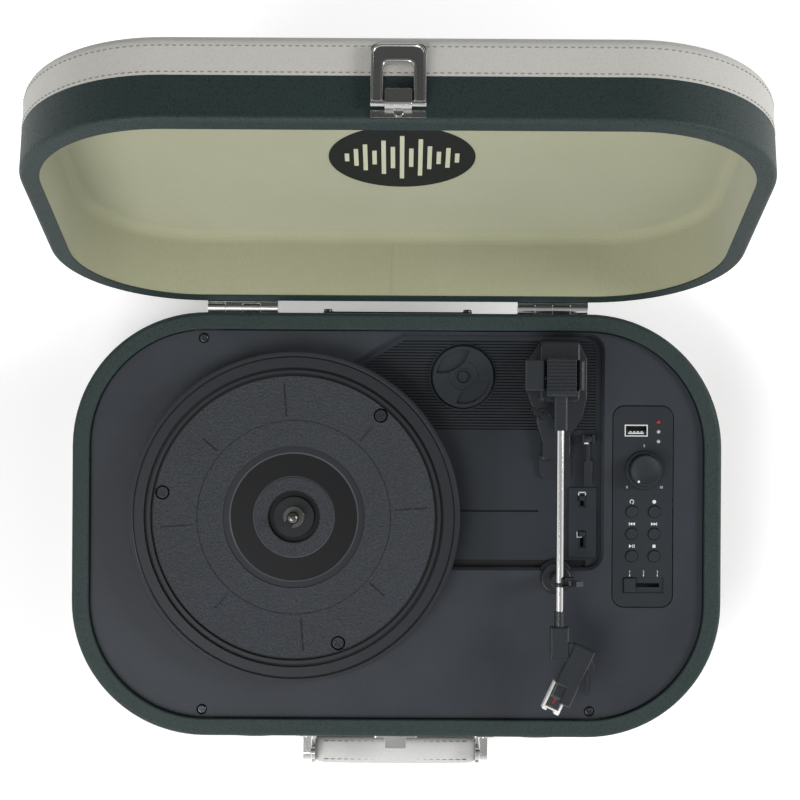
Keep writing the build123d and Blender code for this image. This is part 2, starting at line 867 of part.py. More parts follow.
def make_mech_plate():
    """Recessed plate that carries the platter, the tonearm, the motor and the small switches."""
    outline = offset(recess_outline(), mech_flange)
    body = raised(outline, mech_bottom, deck_bottom)
    body &= slab(inner_wall + lip_thickness + deck_gap, mech_bottom, deck_bottom)
    body -= raised(opening_plan(), floor_top, deck_bottom)
    body -= raised(rib_field(), floor_top - rib_depth, floor_top)
    band_end = recess_top - rib_field_length - band_length
    low = box(spindle_x, recess_right + 1, recess_bottom - 1, band_end, floor_top - band_drop, deck_top)
    body -= low & raised(opening_plan(), mech_bottom, deck_top)
    start = spindle_x + well_radius * 0.9
    fold = box(start, pivot_x - block_half_width - 2, band_end - fold_width, band_end,
               floor_top - band_drop - fold_depth, floor_top)
    gutter = box(start, recess_right - recess_corner_radius, recess_bottom, recess_bottom + groove_width,
                 floor_top - groove_depth, floor_top)
    body -= fold
    body -= gutter & raised(opening_plan(), mech_bottom, deck_top)
    switch_plate = box(switch_plate_right - switch_plate_width, switch_plate_right,
                       switch_plate_top - switch_plate_length, switch_plate_top,
                       mech_bottom, floor_top + switch_plate_height)
    body += switch_plate & raised(opening_plan(), mech_bottom, deck_top)
    body -= switch_slot(stop_slot_top, stop_travel)
    body -= switch_slot(speed_slot_top, speed_travel)
    body -= upright(adapter_x, adapter_y, floor_top - adapter_pocket_depth, deck_top,
                    adapter_radius + adapter_seat_gap)
    peg_top = floor_top - adapter_pocket_depth + adapter_height - 0.5
    body += upright(adapter_x, adapter_y, mech_bottom, peg_top, adapter_peg_radius)
    boss_top = hub_bottom - 0.1
    body += upright(spindle_x, spindle_y, mech_bottom - 5, boss_top, boss_radius)
    body -= upright(spindle_x, spindle_y, mech_bottom - 4, boss_top, spindle_radius)
    body -= upright(pulley_x, pulley_y, mech_bottom, floor_top, motor_boss_radius + 0.3)
    for s in (-1, 1):
        near = lever_x + s * (lever_hub_width / 2 + 0.3)
        far = near + s * lever_ear
        body += box(min(near, far), max(near, far), lever_y - lever_hub_radius, lever_y + lever_hub_radius,
                    floor_top - 1, lever_z + lever_hub_radius)
    body += cross_bar(lever_x - lever_hub_width, lever_x + lever_hub_width, lever_y, lever_z,
                      lever_pin_radius) & box(lever_x - lever_hub_width / 2 - 0.3 - lever_ear,
                                              lever_x + lever_hub_width / 2 + 0.3 + lever_ear,
                                              lever_y - 3, lever_y + 3, floor_top, deck_top + 3)
    return less_screws(body)


nodes["deck_plate"] = make_deck_plate()
nodes["mech_plate"] = make_mech_plate()


# ---------------------------------------------------------------- platter and drive
mat_top = platter_top - mat_drop
head_seat = mat_top - platter_screw_sink - screw_head_height
platter_screw_places = [
    (spindle_x + platter_screw_circle * cos(radians(platter_screw_turn + 120 * i)),
     spindle_y + platter_screw_circle * sin(radians(platter_screw_turn + 120 * i)))
    for i in range(3)
]


def groove(middle, width, top, depth):
    """Points of a square groove in the platter's profile, from the middle outwards."""
    inner = middle - width / 2
    outer = middle + width / 2
    return [(inner, top), (inner, top - depth), (outer, top - depth), (outer, top)]


def make_platter():
    """Moulded platter: hub, label recess, grained disc, edge grooves, lip and skirt."""
    bore = spindle_radius + running_clearance
    label_floor = mat_top - label_depth
    lip_inner = ring_groove_radius + ring_groove_width / 2
    mat_end = mat_groove_radius - mat_groove_width / 2
    ridge = mat_groove_radius + mat_groove_width / 2
    profile = [(bore, hub_bottom), (bore, mat_top), (hub_radius, mat_top)]
    profile += [(hub_radius, mat_top - hub_groove_depth), (hub_groove_outer, mat_top - hub_groove_depth)]
    profile += [(hub_groove_outer, mat_top), (label_inner_radius, mat_top)]
    profile += [(label_inner_radius, label_floor), (label_step_radius, label_floor)]
    profile += [(label_step_radius + 0.5, label_floor + 0.4), (label_outer_radius, label_floor + 0.4)]
    profile += [(label_outer_radius, mat_top)]
    profile += groove(mat_circle_radius, 0.6, mat_top, 0.35)
    profile += [(mat_end, mat_top), (mat_end, mat_top - 1.4), (ridge, mat_top - 1.4), (ridge, platter_top)]
    profile += groove(edge_groove_radius, edge_groove_width, platter_top, 2.2)
    profile += groove(ring_groove_radius, ring_groove_width, platter_top, 0.6)
    profile += [(lip_inner + 0.5, platter_top + 0.4), (platter_radius - 0.9, platter_top + 0.4)]
    profile += [(platter_radius, platter_top - 0.5), (platter_radius, deck_top + platter_gap)]
    profile += [(platter_radius - platter_skirt, deck_top + platter_gap)]
    profile += [(platter_radius - platter_skirt, platter_under), (hub_radius, platter_under)]
    profile += [(hub_radius, hub_bottom)]
    face = Plane.XZ * Polygon(*profile, align=None)
    platter = Pos(spindle_x, spindle_y, 0) * revolve(face, Axis.Z)
    for i in range(8):
        outer = long_mark_outer_radius if i % 2 == 0 else short_mark_outer_radius
        mark = box(mark_inner_radius, outer, -mark_width / 2, mark_width / 2,
                   mat_top - mark_depth, mat_top + 1)
        platter -= Pos(spindle_x, spindle_y, 0) * Rot(0, 0, platter_turn + 45 * i) * mark
    for x, y in platter_screw_places:
        platter -= upright(x, y, head_seat, platter_top, platter_screw_hole)
        platter -= upright(x, y, platter_under, head_seat, screw_shank_radius)
    return platter


def make_drive_ring():
    """Ring screwed under the platter; the belt runs round its wall."""
    top = platter_under
    flange_bottom = top - drive_flange_thickness
    ring = upright(spindle_x, spindle_y, flange_bottom, top, drive_flange_radius)
    rim_low = flange_bottom - drive_rim_length
    ring += upright(spindle_x, spindle_y, rim_low, flange_bottom, belt_rim_radius)
    ring -= upright(spindle_x, spindle_y, rim_low, top, belt_rim_radius - belt_rim_wall)
    for x, y in platter_screw_places:
        ring += upright(x, y, flange_bottom - drive_boss_height, flange_bottom, platter_screw_radius)
        ring -= upright(x, y, flange_bottom - drive_boss_height + 0.6, top, screw_shank_radius)
    return ring


def make_platter_screws():
    length = head_seat - (platter_under - drive_flange_thickness - drive_boss_height + 0.6)
    one = screw(platter_screw_radius, screw_shank_radius, length)
    return group([Pos(x, y, head_seat) * Rot(0, 0, 30) * one for x, y in platter_screw_places])


def make_spindle():
    """Steel centre pin in the plate's boss, and the open clip that keeps the platter on it."""
    pin_top = platter_top + spindle_rise
    pin = upright(spindle_x, spindle_y, mech_bottom - 4, pin_top, spindle_radius)
    pin = fillet(high_edges(pin), spindle_dome)
    low = mat_top + 0.3
    high = low + clip_thickness
    neck = spindle_radius - clip_groove
    pin -= upright(spindle_x, spindle_y, low, high, spindle_radius + 1) - upright(
        spindle_x, spindle_y, low, high, neck)
    clip = upright(spindle_x, spindle_y, low, high, clip_radius)
    clip -= upright(spindle_x, spindle_y, low, high, neck)
    mouth = box(0, clip_radius + 1, -neck * 0.8, neck * 0.8, low, high)
    clip -= Pos(spindle_x, spindle_y, 0) * Rot(0, 0, 235) * mouth
    return group([pin, clip])


pulley_bottom = floor_top + pulley_lift
pulley_top = pulley_bottom + pulley_height
belt_middle = (pulley_bottom + pulley_top) / 2
motor_top = mech_bottom
shaft_bottom = motor_top - motor_length + 3


def make_motor_pulley():
    """Brass pulley on the motor's steel shaft."""
    pulley = upright(pulley_x, pulley_y, pulley_bottom, pulley_top, pulley_radius)
    for low in (pulley_bottom, pulley_top - 0.7):
        pulley += upright(pulley_x, pulley_y, low, low + 0.7, pulley_radius + pulley_flange)
    return pulley + upright(pulley_x, pulley_y, shaft_bottom, pulley_top + 0.4, motor_shaft_radius)


def make_motor():
    """Can motor hung under the plate by two screws."""
    can = upright(pulley_x, pulley_y, motor_top - motor_length, motor_top, motor_radius)
    can = fillet(low_edges(can), 1.5)
    can += upright(pulley_x, pulley_y, motor_top, motor_top + motor_boss_height, motor_boss_radius)
    can -= upright(pulley_x, pulley_y, shaft_bottom - 0.5, motor_top + motor_boss_height,
                   motor_shaft_radius + running_clearance)
    return less_screws(can)


def belt_loop(extra):
    """Plan of a taut loop round both pulleys, this far off their rims."""
    big = belt_rim_radius + extra
    small = pulley_radius + extra
    lean = degrees(atan2(sqrt(pulley_distance ** 2 - (big - small) ** 2), big - small))
    touch = []
    for side in (1, -1):
        direction = radians(pulley_angle + side * lean)
        touch.append([(cx + r * cos(direction), cy + r * sin(direction))
                      for cx, cy, r in ((spindle_x, spindle_y, big), (pulley_x, pulley_y, small))])
    bridge = Polygon(touch[1][0], touch[1][1], touch[0][1], touch[0][0], align=None)
    return Pos(spindle_x, spindle_y) * Circle(big) + Pos(pulley_x, pulley_y) * Circle(small) + bridge


def make_belt():
    """Flat rubber belt round the drive ring and the motor pulley."""
    loop = belt_loop(running_clearance + belt_thickness) - belt_loop(running_clearance)
    return raised(loop, belt_middle - belt_width / 2, belt_middle + belt_width / 2)


nodes["platter"] = make_platter()
nodes["drive_ring"] = make_drive_ring()
nodes["platter_screws"] = make_platter_screws()
nodes["spindle"] = make_spindle()
nodes["motor_pulley"] = make_motor_pulley()
nodes["motor"] = make_motor()
nodes["belt"] = make_belt()


# ---------------------------------------------------------------- 45 adapter
def make_adapter():
    """Loose disc for large-hole records, with two finger scoops."""
    bottom = floor_top - adapter_pocket_depth + running_clearance
    top = bottom + adapter_height
    disc = upright(0, 0, bottom, top, adapter_radius)
    disc = chamfer(high_edges(disc), 0.6)
    disc += upright(0, 0, bottom, top + 0.3, adapter_ridge_radius)
    disc -= upright(0, 0, top, top + 1, adapter_ridge_radius - 0.8)
    for side in (0, 180):
        angle = radians(scoop_angle + side)
        far = Pos(scoop_offset * cos(angle), scoop_offset * sin(angle)) * Circle(scoop_radius)
        disc -= raised(Circle(scoop_outer_radius) & far, top - scoop_depth, top + 1)
    disc += upright(0, 0, bottom, top + 0.4, adapter_hole_radius + 1.0)
    disc -= upright(0, 0, bottom, top + 1, adapter_hole_radius)
    return Pos(adapter_x, adapter_y, 0) * disc


nodes["adapter_45"] = make_adapter()


# ---------------------------------------------------------------- tonearm
lift_post_x = pivot_x + lift_bar_radius * cos(radians(lift_post_angle))
lift_post_y = pivot_y + lift_bar_radius * sin(radians(lift_post_angle))
plinth_top = floor_top + arm_base_height
arm_base_screw_places = [
    (pivot_x - turret_left + 4, pivot_y + turret_back - 4),
    (pivot_x + turret_right - 4, pivot_y + turret_back - 4),
    (pivot_x, pivot_y - turret_front - 14),
]
arm_base_screws = [
    Pos(x, y, mech_bottom) * Rot(180, 0, 0) * screw(small_head_radius, small_shank_radius, mech_thickness + 5)
    for x, y in arm_base_screw_places
]
for item in arm_base_screws:
    nodes["mech_plate"] -= item
screws += arm_base_screws


def make_arm_base():
    """Low plinth screwed to the plate, the housing round the pivot and the lift bar's guide."""
    base = plate([(pivot_x + dx, pivot_y + dy) for dx, dy in arm_base_outline], floor_top, plinth_top)
    base = fillet(base.edges().filter_by(Axis.Z), arm_base_corner)
    base = chamfer(high_edges(base), 0.8)
    left = pivot_x + arm_base_outline[4][0]
    right = pivot_x + arm_base_outline[5][0]
    step_back = pivot_y + arm_base_outline[4][1] + 3
    step_front = pivot_y - foot_plate_end
    step = plate([(left - 1, step_back), (left - 1, step_front + 4), (left + foot_plate_inset, step_front),
                  (right, step_front), (right, step_back)], floor_top, floor_top + foot_plate_height)
    base += step
    turret = box(pivot_x - turret_left, pivot_x + turret_right, pivot_y - turret_front, pivot_y + turret_back,
                 floor_top, turret_top)
    turret = fillet(turret.edges().filter_by(Axis.Z), 3)
    turret = chamfer(high_edges(turret), 0.8)
    base += turret
    base += upright(lift_post_x, lift_post_y, floor_top, plinth_top + lift_boss_height, lift_boss_radius)
    base -= upright(pivot_x, pivot_y, turret_top - journal_length - 0.5, turret_top,
                    journal_radius + running_clearance)
    base -= upright(lift_post_x, lift_post_y, plinth_top + 1.5, plinth_top + lift_boss_height,
                    lift_post_radius + running_clearance)
    return less_screws(base)


def make_lift_bar():
    """Curved bar under the arm, on its own plunger."""
    inner = lift_bar_radius - lift_bar_width / 2
    outer = lift_bar_radius + lift_bar_width / 2
    reach = outer * 1.5
    wedge = Polygon(
        (0, 0),
        (reach * cos(radians(lift_bar_start)), reach * sin(radians(lift_bar_start))),
        (reach * cos(radians(lift_post_angle)), reach * sin(radians(lift_post_angle))),
        (reach * cos(radians(lift_bar_end)), reach * sin(radians(lift_bar_end))),
        align=None,
    )
    arc = (Circle(outer) - Circle(inner)) & wedge
    bar = Pos(pivot_x, pivot_y, 0) * raised(arc, bar_top - lift_bar_height, bar_top)
    bar = fillet(bar.edges().filter_by(Axis.Z), lift_bar_width * 0.45)
    return bar + upright(lift_post_x, lift_post_y, plinth_top + 2, bar_top - 0.5, lift_post_radius)


def make_arm_yoke():
    """Fork that turns in the housing, with the steel pin across it."""
    left = pivot_x - block_half_width - block_side_gap
    right = pivot_x + block_half_width + block_side_gap
    low = yoke_bottom + yoke_floor
    high = low + ear_height
    near, far = pivot_y - ear_front, pivot_y + ear_back
    fork = box(left - ear_left_width, right + ear_right_width, near, far, yoke_bottom, low)
    left_ear = box(left - ear_left_width, left, near, far, yoke_bottom, high)
    right_ear = box(right, right + ear_right_width, near, far, yoke_bottom, high)
    fork += chamfer(high_edges(left_ear), 0.7)
    fork += chamfer(high_edges(right_ear), 1.2)
    fork += upright(pivot_x, pivot_y, turret_top + yoke_gap - journal_length, yoke_bottom, journal_radius)
    pin_left = left - ear_left_width + 2.5
    pin_right = right + ear_right_width - 1.0
    pin = cross_bar(pin_left, pin_right, pivot_y, arm_z, arm_pin_radius)
    return group([fork - pin, pin])


def make_arm_block():
    """Ribbed block that rocks on the pin, with the square stub that holds the tube."""
    left, right = pivot_x - block_half_width, pivot_x + block_half_width
    near, far = pivot_y - block_front, pivot_y + block_back
    top = arm_z + block_above
    block = box(left, right, near, far, block_bottom, top)
    block = fillet(block.edges().filter_by(Axis.X), 1.5)
    count = int((block_front + block_back - 3) / block_rib_pitch)
    for i in range(count):
        y = far - 2 - (i + 0.5) * block_rib_pitch
        block -= box(left - 1, right + 1, y, y + block_rib_pitch / 2, top - block_rib_depth, top + 1)
    stub_near = pivot_y - stub_end
    stub = box(pivot_x - stub_half_width, pivot_x + stub_half_width, stub_near, near + 1,
               stub_bottom, arm_z + stub_half_width)
    block += chamfer(stub.edges().filter_by(Axis.Y), 0.8)
    block -= cross_bar(left - 1, right + 1, pivot_y, arm_z, arm_pin_radius + running_clearance)
    return block - through_bar(pivot_x, stub_near - 1, near, arm_z, tube_radius)


def make_arm_tube():
    """Straight thin tube from the stub to the head's collar."""
    back_end = pivot_y - block_front
    front_end = head_block_y + collar_length - 4
    tube = through_bar(pivot_x, front_end, back_end, arm_z, tube_radius)
    return tube - through_bar(pivot_x, front_end, back_end, arm_z, tube_radius - tube_wall)


def at_head(shape):
    """Place a shape drawn round the stylus, with Y to the head's rear."""
    return Pos(stylus_x, stylus_y, 0) * Rot(0, 0, -head_angle) * shape


head_top = arm_z + head_block_height / 2
head_ceiling = head_top - head_roof
head_bottom = head_ceiling - head_depth
collar_back = head_block_y + collar_length


def make_headshell():
    """Collar and block on the tube, with the open-bottomed shell turned toward the record."""
    half = head_block_width / 2
    near = head_block_y - head_block_length
    low = arm_z - head_block_height / 2
    block = box(pivot_x - half, pivot_x + half, near, head_block_y, low, head_top)
    block = chamfer(high_edges(block), 0.8)
    collar = through_bar(pivot_x, head_block_y - 1, collar_back, arm_z, collar_radius)
    shell = box(-head_left, head_right, head_front, head_rear, head_bottom, head_top)
    shell += box(head_nose_left, head_right, head_nose_front, head_front, head_bottom, head_top)
    shell = chamfer(high_edges(shell), 0.8)
    shell -= box(-head_left + head_wall, head_right - head_wall, head_nose_front + head_wall, head_rear - 6,
                 head_bottom - 1, head_ceiling)
    tip = head_right + finger_lift_width
    middle = head_right + finger_lift_width / 2
    lift = plate([(head_right - 1, head_front), (tip - 2, head_front + 0.5), (tip, head_front + 2),
                  (middle, head_front + finger_lift_length + 1.5), (head_right - 1, head_rear - 3)],
                 head_ceiling - finger_lift_thickness, head_ceiling)
    lift += plate([(tip - 3, head_front + 4), (tip - 2.2, head_front + 4.2),
                   (head_right + 0.4, head_front + finger_lift_length + 0.8),
                   (head_right - 0.4, head_front + finger_lift_length + 0.6)],
                  head_ceiling - 0.5, head_ceiling + finger_ridge)
    web = box(-head_left - 3, -head_left + 2, head_rear - 12, head_rear - 1, head_ceiling - 3, head_top - 1)
    head = block + collar + at_head(shell + lift + web)
    return head - through_bar(pivot_x, collar_back - 4, collar_back + 1, arm_z, tube_radius)


cartridge_bottom = head_ceiling - cartridge_height
cartridge_front = head_nose_front + head_wall + cartridge_front_gap


def make_cartridge():
    """Ceramic cartridge held in the shell."""
    half = cartridge_width / 2
    top = head_ceiling
    body = box(-half, half, cartridge_front, cartridge_rear, top - cartridge_height, top)
    body = chamfer(body.edges().group_by(Axis.Y)[0].filter_by(Axis.X), 1.5)
    return at_head(body)


def make_stylus():
    """Plug-in stylus: moulded holder and the thin arm with its tip."""
    half = stylus_holder_width / 2
    rear = cartridge_front + stylus_holder_length
    holder = box(-half, half, cartridge_front, rear,
                 cartridge_bottom - stylus_holder_height, cartridge_bottom)
    middle = cartridge_bottom - stylus_holder_height / 2
    arm = box(-0.5, 0.5, -0.6, cartridge_front + 1, middle - 0.5, middle + 0.5)
    tip = Pos(0, 0, (stylus_z + middle) / 2) * Cone(0.1, 0.5, middle - stylus_z)
    return at_head(holder + arm + tip)


guard_top = head_bottom - guard_gap
guard_half = cartridge_width / 2 + guard_gap + guard_wall


def make_stylus_guard():
    """Pale push-on guard round the stylus, open at its rear."""
    low = guard_top - guard_height
    guard = box(-guard_half, guard_half, -guard_front, guard_rear, low, guard_top)
    guard = fillet(guard.edges().filter_by(Axis.Z).group_by(Axis.Y)[0], 0.8)
    inner = guard_half - guard_wall
    deep = guard_front - 2 * guard_wall
    guard -= box(-inner, inner, -deep, guard_rear + 1, low - 1, guard_top + 1)
    gap = guard_half - guard_block
    guard -= box(-gap, gap, -guard_front - 1, -deep - guard_bar, low - 1, guard_top + 1)
    return at_head(guard)


def make_arm_rest():
    """Post with a shallow cradle, open toward the platter, and two ears for its clip."""
    near, far = rest_y - cradle_width / 2, rest_y + cradle_width / 2
    left = rest_x - tube_radius - cradle_gap
    wall = rest_x + tube_radius + cradle_gap
    wall_out = wall + cradle_wall
    eye = clip_axis_z - 2.0 - clip_gap
    rest = upright(rest_x, rest_y, deck_top, deck_top + rest_base_height, rest_base_radius)
    rest = chamfer(high_edges(rest), 1.2)
    rest += upright(rest_x, rest_y, deck_bottom, deck_top, rest_spigot_radius)
    rest += upright(rest_x, rest_y, deck_top, cradle_z - cradle_floor, rest_post_radius)
    rest += box(left, wall_out, near, far, cradle_z - cradle_floor, cradle_z)
    rest += box(wall, wall_out, near, far, cradle_z - cradle_floor, eye)
    for s in (-1, 1):
        inner = rest_y + s * (clip_strap / 2 + clip_gap)
        outer = rest_y + s * cradle_width / 2
        y0, y1 = min(inner, outer), max(inner, outer)
        rest += box(wall, clip_axis_x + 1.8, y0, y1, eye - 2, clip_axis_z + 1.8)
    pin = through_bar(clip_axis_x, near, far, clip_axis_z, clip_pin_radius)
    return rest + pin


clip_closed = Axis((clip_axis_x, rest_y, clip_axis_z), (0, 1, 0))


def make_arm_clip():
    """Hinged strap that locks the arm for carrying, drawn shut and then turned open."""
    half = clip_strap / 2
    low = arm_z + tube_radius + cradle_gap
    high = low + clip_strap_thickness
    inner = rest_x - tube_radius - cradle_gap
    outer = inner - clip_strap_thickness
    clip = through_bar(clip_axis_x, rest_y - half, rest_y + half, clip_axis_z, 2.0)
    clip += box(outer, clip_axis_x, rest_y - half, rest_y + half, low, high)
    clip += box(outer, inner, rest_y - half, rest_y + half, arm_z - tube_radius / 2, high)
    hole = clip_pin_radius + running_clearance
    clip -= through_bar(clip_axis_x, rest_y - half, rest_y + half, clip_axis_z, hole)
    return clip.rotate(clip_closed, clip_open_angle)


nodes["arm_base"] = make_arm_base()
nodes["lift_bar"] = make_lift_bar()
nodes["arm_yoke"] = make_arm_yoke()
nodes["arm_block"] = make_arm_block()
nodes["arm_tube"] = make_arm_tube()
nodes["headshell"] = make_headshell()
nodes["cartridge"] = make_cartridge()
nodes["stylus"] = make_stylus()
nodes["stylus_guard"] = make_stylus_guard()
nodes["arm_rest"] = make_arm_rest()
nodes["arm_clip"] = make_arm_clip()


# ---------------------------------------------------------------- cueing lever and small switches
def make_cue_lever():
    """Lever on a cross pin, lying forward at rest."""
    half = lever_hub_width / 2
    hub = cross_bar(lever_x - half, lever_x + half, lever_y, lever_z, lever_hub_radius)
    stem_end = lever_y - lever_stem_length
    stem = box(lever_x - lever_stem / 2, lever_x + lever_stem / 2, stem_end, lever_y,
               lever_z - lever_stem / 2, lever_z + lever_stem / 2)
    paddle = box(lever_x - lever_paddle / 2, lever_x + lever_paddle / 2, lever_y - lever_length, stem_end + 1,
                 lever_z - lever_stem / 2, lever_z + lever_stem / 2)
    paddle = fillet(paddle.edges().filter_by(Axis.Z), 1.5)
    lever = hub + stem + paddle
    hole = lever_pin_radius + running_clearance
    return lever - cross_bar(lever_x - half, lever_x + half, lever_y, lever_z, hole)


def make_switch_knob(y):
    """Small sliding knob with its stem through the slot."""
    low = knob_seat + 0.1
    knob = box(switch_x - knob_width / 2, switch_x + knob_width / 2, y - knob_length / 2, y + knob_length / 2,
               low, low + knob_height)
    knob = chamfer(high_edges(knob), 0.4)
    half = knob_stem / 2
    return knob + box(switch_x - half, switch_x + half, y - half, y + half, switch_body_top - 1.4, low)


switch_body_top = mech_bottom - 1.0
switch_body_length = 12.0
switch_body_height = 6.0
mode_body_top = deck_top - panel_thickness - mode_recess - 1.5


def make_switch_bodies():
    """Slide switch bodies under the plate and under the panel, each with a channel for its stem."""
    bodies = []
    for top, travel in ((stop_slot_top, stop_travel), (speed_slot_top, speed_travel)):
        middle = top - knob_gap - knob_length / 2 - travel / 2
        half = (travel + switch_body_length) / 2
        body = box(switch_x - 3.5, switch_x + 3.5, middle - half, middle + half,
                   switch_body_top - switch_body_height, switch_body_top)
        reach = (travel + knob_stem) / 2 + knob_gap
        narrow = knob_stem / 2 + knob_gap
        body -= box(switch_x - narrow, switch_x + narrow, middle - reach, middle + reach,
                    switch_body_top - 2, switch_body_top)
        for s in (-1, 1):
            body += upright(switch_x, middle + s * (half - 1.5), switch_body_top, mech_bottom, 1.2)
        bodies.append(body)
    half = (mode_travel + 8) / 2
    body = box(mode_x - half, mode_x + half, mode_y - 3.5, mode_y + 3.5, control_board_top, mode_body_top)
    reach = (mode_travel + mode_slot) / 2 + knob_gap
    narrow = mode_slot / 2
    bodies.append(body - box(mode_x - reach, mode_x + reach, mode_y - narrow, mode_y + narrow,
                             mode_body_top - 2.4, mode_body_top))
    return group(bodies)


nodes["cue_lever"] = make_cue_lever()
nodes["autostop_knob"] = make_switch_knob(stop_knob_y)
nodes["speed_knob"] = make_switch_knob(speed_knob_y)
nodes["switch_bodies"] = make_switch_bodies()


# ---------------------------------------------------------------- control panel
button_places = [
    (panel_left + button_left_column + column * button_column_pitch,
     panel_back - button_first_row - row * button_row_pitch)
    for row in range(3)
    for column in range(2)
]
lamp_places = [
    (panel_left + lamp_from_left, panel_back - lamp_first_from_top - i * lamp_pitch)
    for i in range(3)
]
usb_x = panel_left + usb_from_left
usb_y = panel_back - usb_from_top
panel_under = deck_top - panel_thickness
mode_floor = deck_top - mode_recess
mode_knob_x = mode_x - mode_width / 2 + knob_gap + mode_knob_length / 2
usb_depth = 11.0
shaft_bush = 0.3


def make_control_panel():
    """Drop-in panel with its windows, the mode switch's pocket and four bosses."""
    panel = raised(panel_plan(0), panel_under, deck_top)
    panel = chamfer(high_edges(panel), 0.4)
    for x, y in panel_boss_places:
        panel += upright(x, y, control_board_top, panel_under + 0.5, boss_post_radius)
    pocket_floor = box(mode_x - mode_width / 2 - 1, mode_x + mode_width / 2 + 1, mode_y - mode_height / 2 - 1,
                       mode_y + mode_height / 2 + 1, mode_floor - 1.2, deck_top - 0.5)
    panel += pocket_floor
    panel -= box(mode_x - mode_width / 2, mode_x + mode_width / 2, mode_y - mode_height / 2,
                 mode_y + mode_height / 2, mode_floor, deck_top + 1)
    reach = (mode_travel + mode_slot) / 2 + knob_gap
    narrow = mode_slot / 2
    panel -= box(mode_x - reach, mode_x + reach, mode_y - narrow, mode_y + narrow, mode_floor - 2, deck_top)
    panel -= box(usb_x - usb_width / 2, usb_x + usb_width / 2, usb_y - usb_height / 2, usb_y + usb_height / 2,
                 panel_under - 1, deck_top + 1)
    for x, y in lamp_places:
        panel -= upright(x, y, panel_under - 1, deck_top + 1, lamp_radius)
    for x, y in button_places:
        panel -= upright(x, y, panel_under - 1, deck_top + 1, button_radius + button_gap)
    panel -= upright(volume_x, volume_y, panel_under - 1, deck_top + 1, pot_shaft_radius + shaft_bush)
    return less_screws(panel)


tact_height = 3.4
tact_plunger = 1.7
button_foot = control_board_top + tact_height + 1.2 + button_travel
flange_lift = 1.2


def make_control_board():
    """Circuit board under the panel: press switches, volume control and a chip."""
    board = raised(panel_plan(panel_ledge + 0.5), control_board_top - pcb_thickness, control_board_top)
    parts = [board]
    for x, y in button_places:
        half = tact_size / 2
        high = control_board_top + tact_height
        switch = box(x - half, x + half, y - half, y + half, control_board_top, high)
        switch += upright(x, y, high, high + 1.2, tact_plunger)
        parts.append(switch)
    pot = upright(volume_x, volume_y, control_board_top, control_board_top + pot_height, pot_radius)
    pot -= upright(volume_x, volume_y, control_board_top + 1, control_board_top + pot_height,
                   pot_shaft_radius + running_clearance)
    parts.append(pot)
    whole = parts[0]
    for piece in parts[1:]:
        whole += piece
    return less_screws(whole)


def make_volume_knob():
    """Turned knob with a wide skirt, and the control's shaft."""
    low = deck_top + volume_lift
    knob = upright(volume_x, volume_y, low, low + volume_skirt, volume_skirt_radius)
    knob = chamfer(high_edges(knob), 0.6)
    top = upright(volume_x, volume_y, low, low + volume_height, volume_radius)
    knob += chamfer(high_edges(top), 0.8)
    shaft_low = control_board_top + 1.5
    shaft_top = low + volume_height - 2.5
    knob -= upright(volume_x, volume_y, low, shaft_top, pot_shaft_radius)
    return group([knob, upright(volume_x, volume_y, shaft_low, shaft_top, pot_shaft_radius)])


def make_button(x, y):
    """Push button with a flange that keeps it under the panel."""
    top = deck_top + button_rise
    cap = upright(x, y, button_foot, top, button_radius)
    cap = fillet(high_edges(cap), 0.6)
    flange_top = panel_under - 0.3
    return cap + upright(x, y, flange_top - flange_lift, flange_top, button_radius + 1)


def make_mode_slider():
    """Sliding cap of the mode switch with its stem."""
    half = mode_knob_length / 2
    deep = mode_height / 2 - knob_gap
    cap = box(mode_knob_x - half, mode_knob_x + half, mode_y - deep, mode_y + deep,
              mode_floor + 0.1, deck_top + mode_knob_rise)
    cap = fillet(cap.edges().filter_by(Axis.Z), 0.8)
    cap = chamfer(high_edges(cap), 0.4)
    stem = mode_slot / 2 - knob_gap
    return cap + box(mode_knob_x - stem, mode_knob_x + stem, mode_y - stem, mode_y + stem,
                     mode_body_top - 2.0, mode_floor + 0.2)


def make_leds():
    """Three indicator lamps standing on the board."""
    lamps = []
    for x, y in lamp_places:
        lamp = upright(x, y, control_board_top, deck_top + 0.5, lamp_radius)
        lamps.append(fillet(high_edges(lamp), lamp_radius * 0.7))
    return group(lamps)


def make_usb_socket():
    """Metal shell of the upright socket with its tongue."""
    half_w, half_h = usb_width / 2 - 0.2, usb_height / 2 - 0.2
    shell = box(usb_x - half_w, usb_x + half_w, usb_y - half_h, usb_y + half_h,
                control_board_top, deck_top - 0.2)
    inner_w, inner_h = half_w - usb_wall, half_h - usb_wall
    shell -= box(usb_x - inner_w, usb_x + inner_w, usb_y - inner_h, usb_y + inner_h,
                 deck_top - usb_depth, deck_top)
    tongue_low = usb_y - inner_h + 0.9
    return shell + box(usb_x - inner_w + 0.4, usb_x + inner_w - 0.4, tongue_low, tongue_low + usb_tongue,
                       deck_top - usb_depth - 0.5, deck_top - 1.5)


nodes["control_panel"] = make_control_panel()
nodes["control_board"] = make_control_board()
nodes["volume_knob"] = make_volume_knob()
for i, (x, y) in enumerate(button_places):
    nodes["button_" + str(i + 1)] = make_button(x, y)
nodes["mode_slider"] = make_mode_slider()
nodes["leds"] = make_leds()
nodes["usb_socket"] = make_usb_socket()


# ---------------------------------------------------------------- electronics and sockets
board_low = board_top + main_board_lift
board_back = back - main_board_from_back
board_post_radius = 3.0
board_post_inset = 5.0


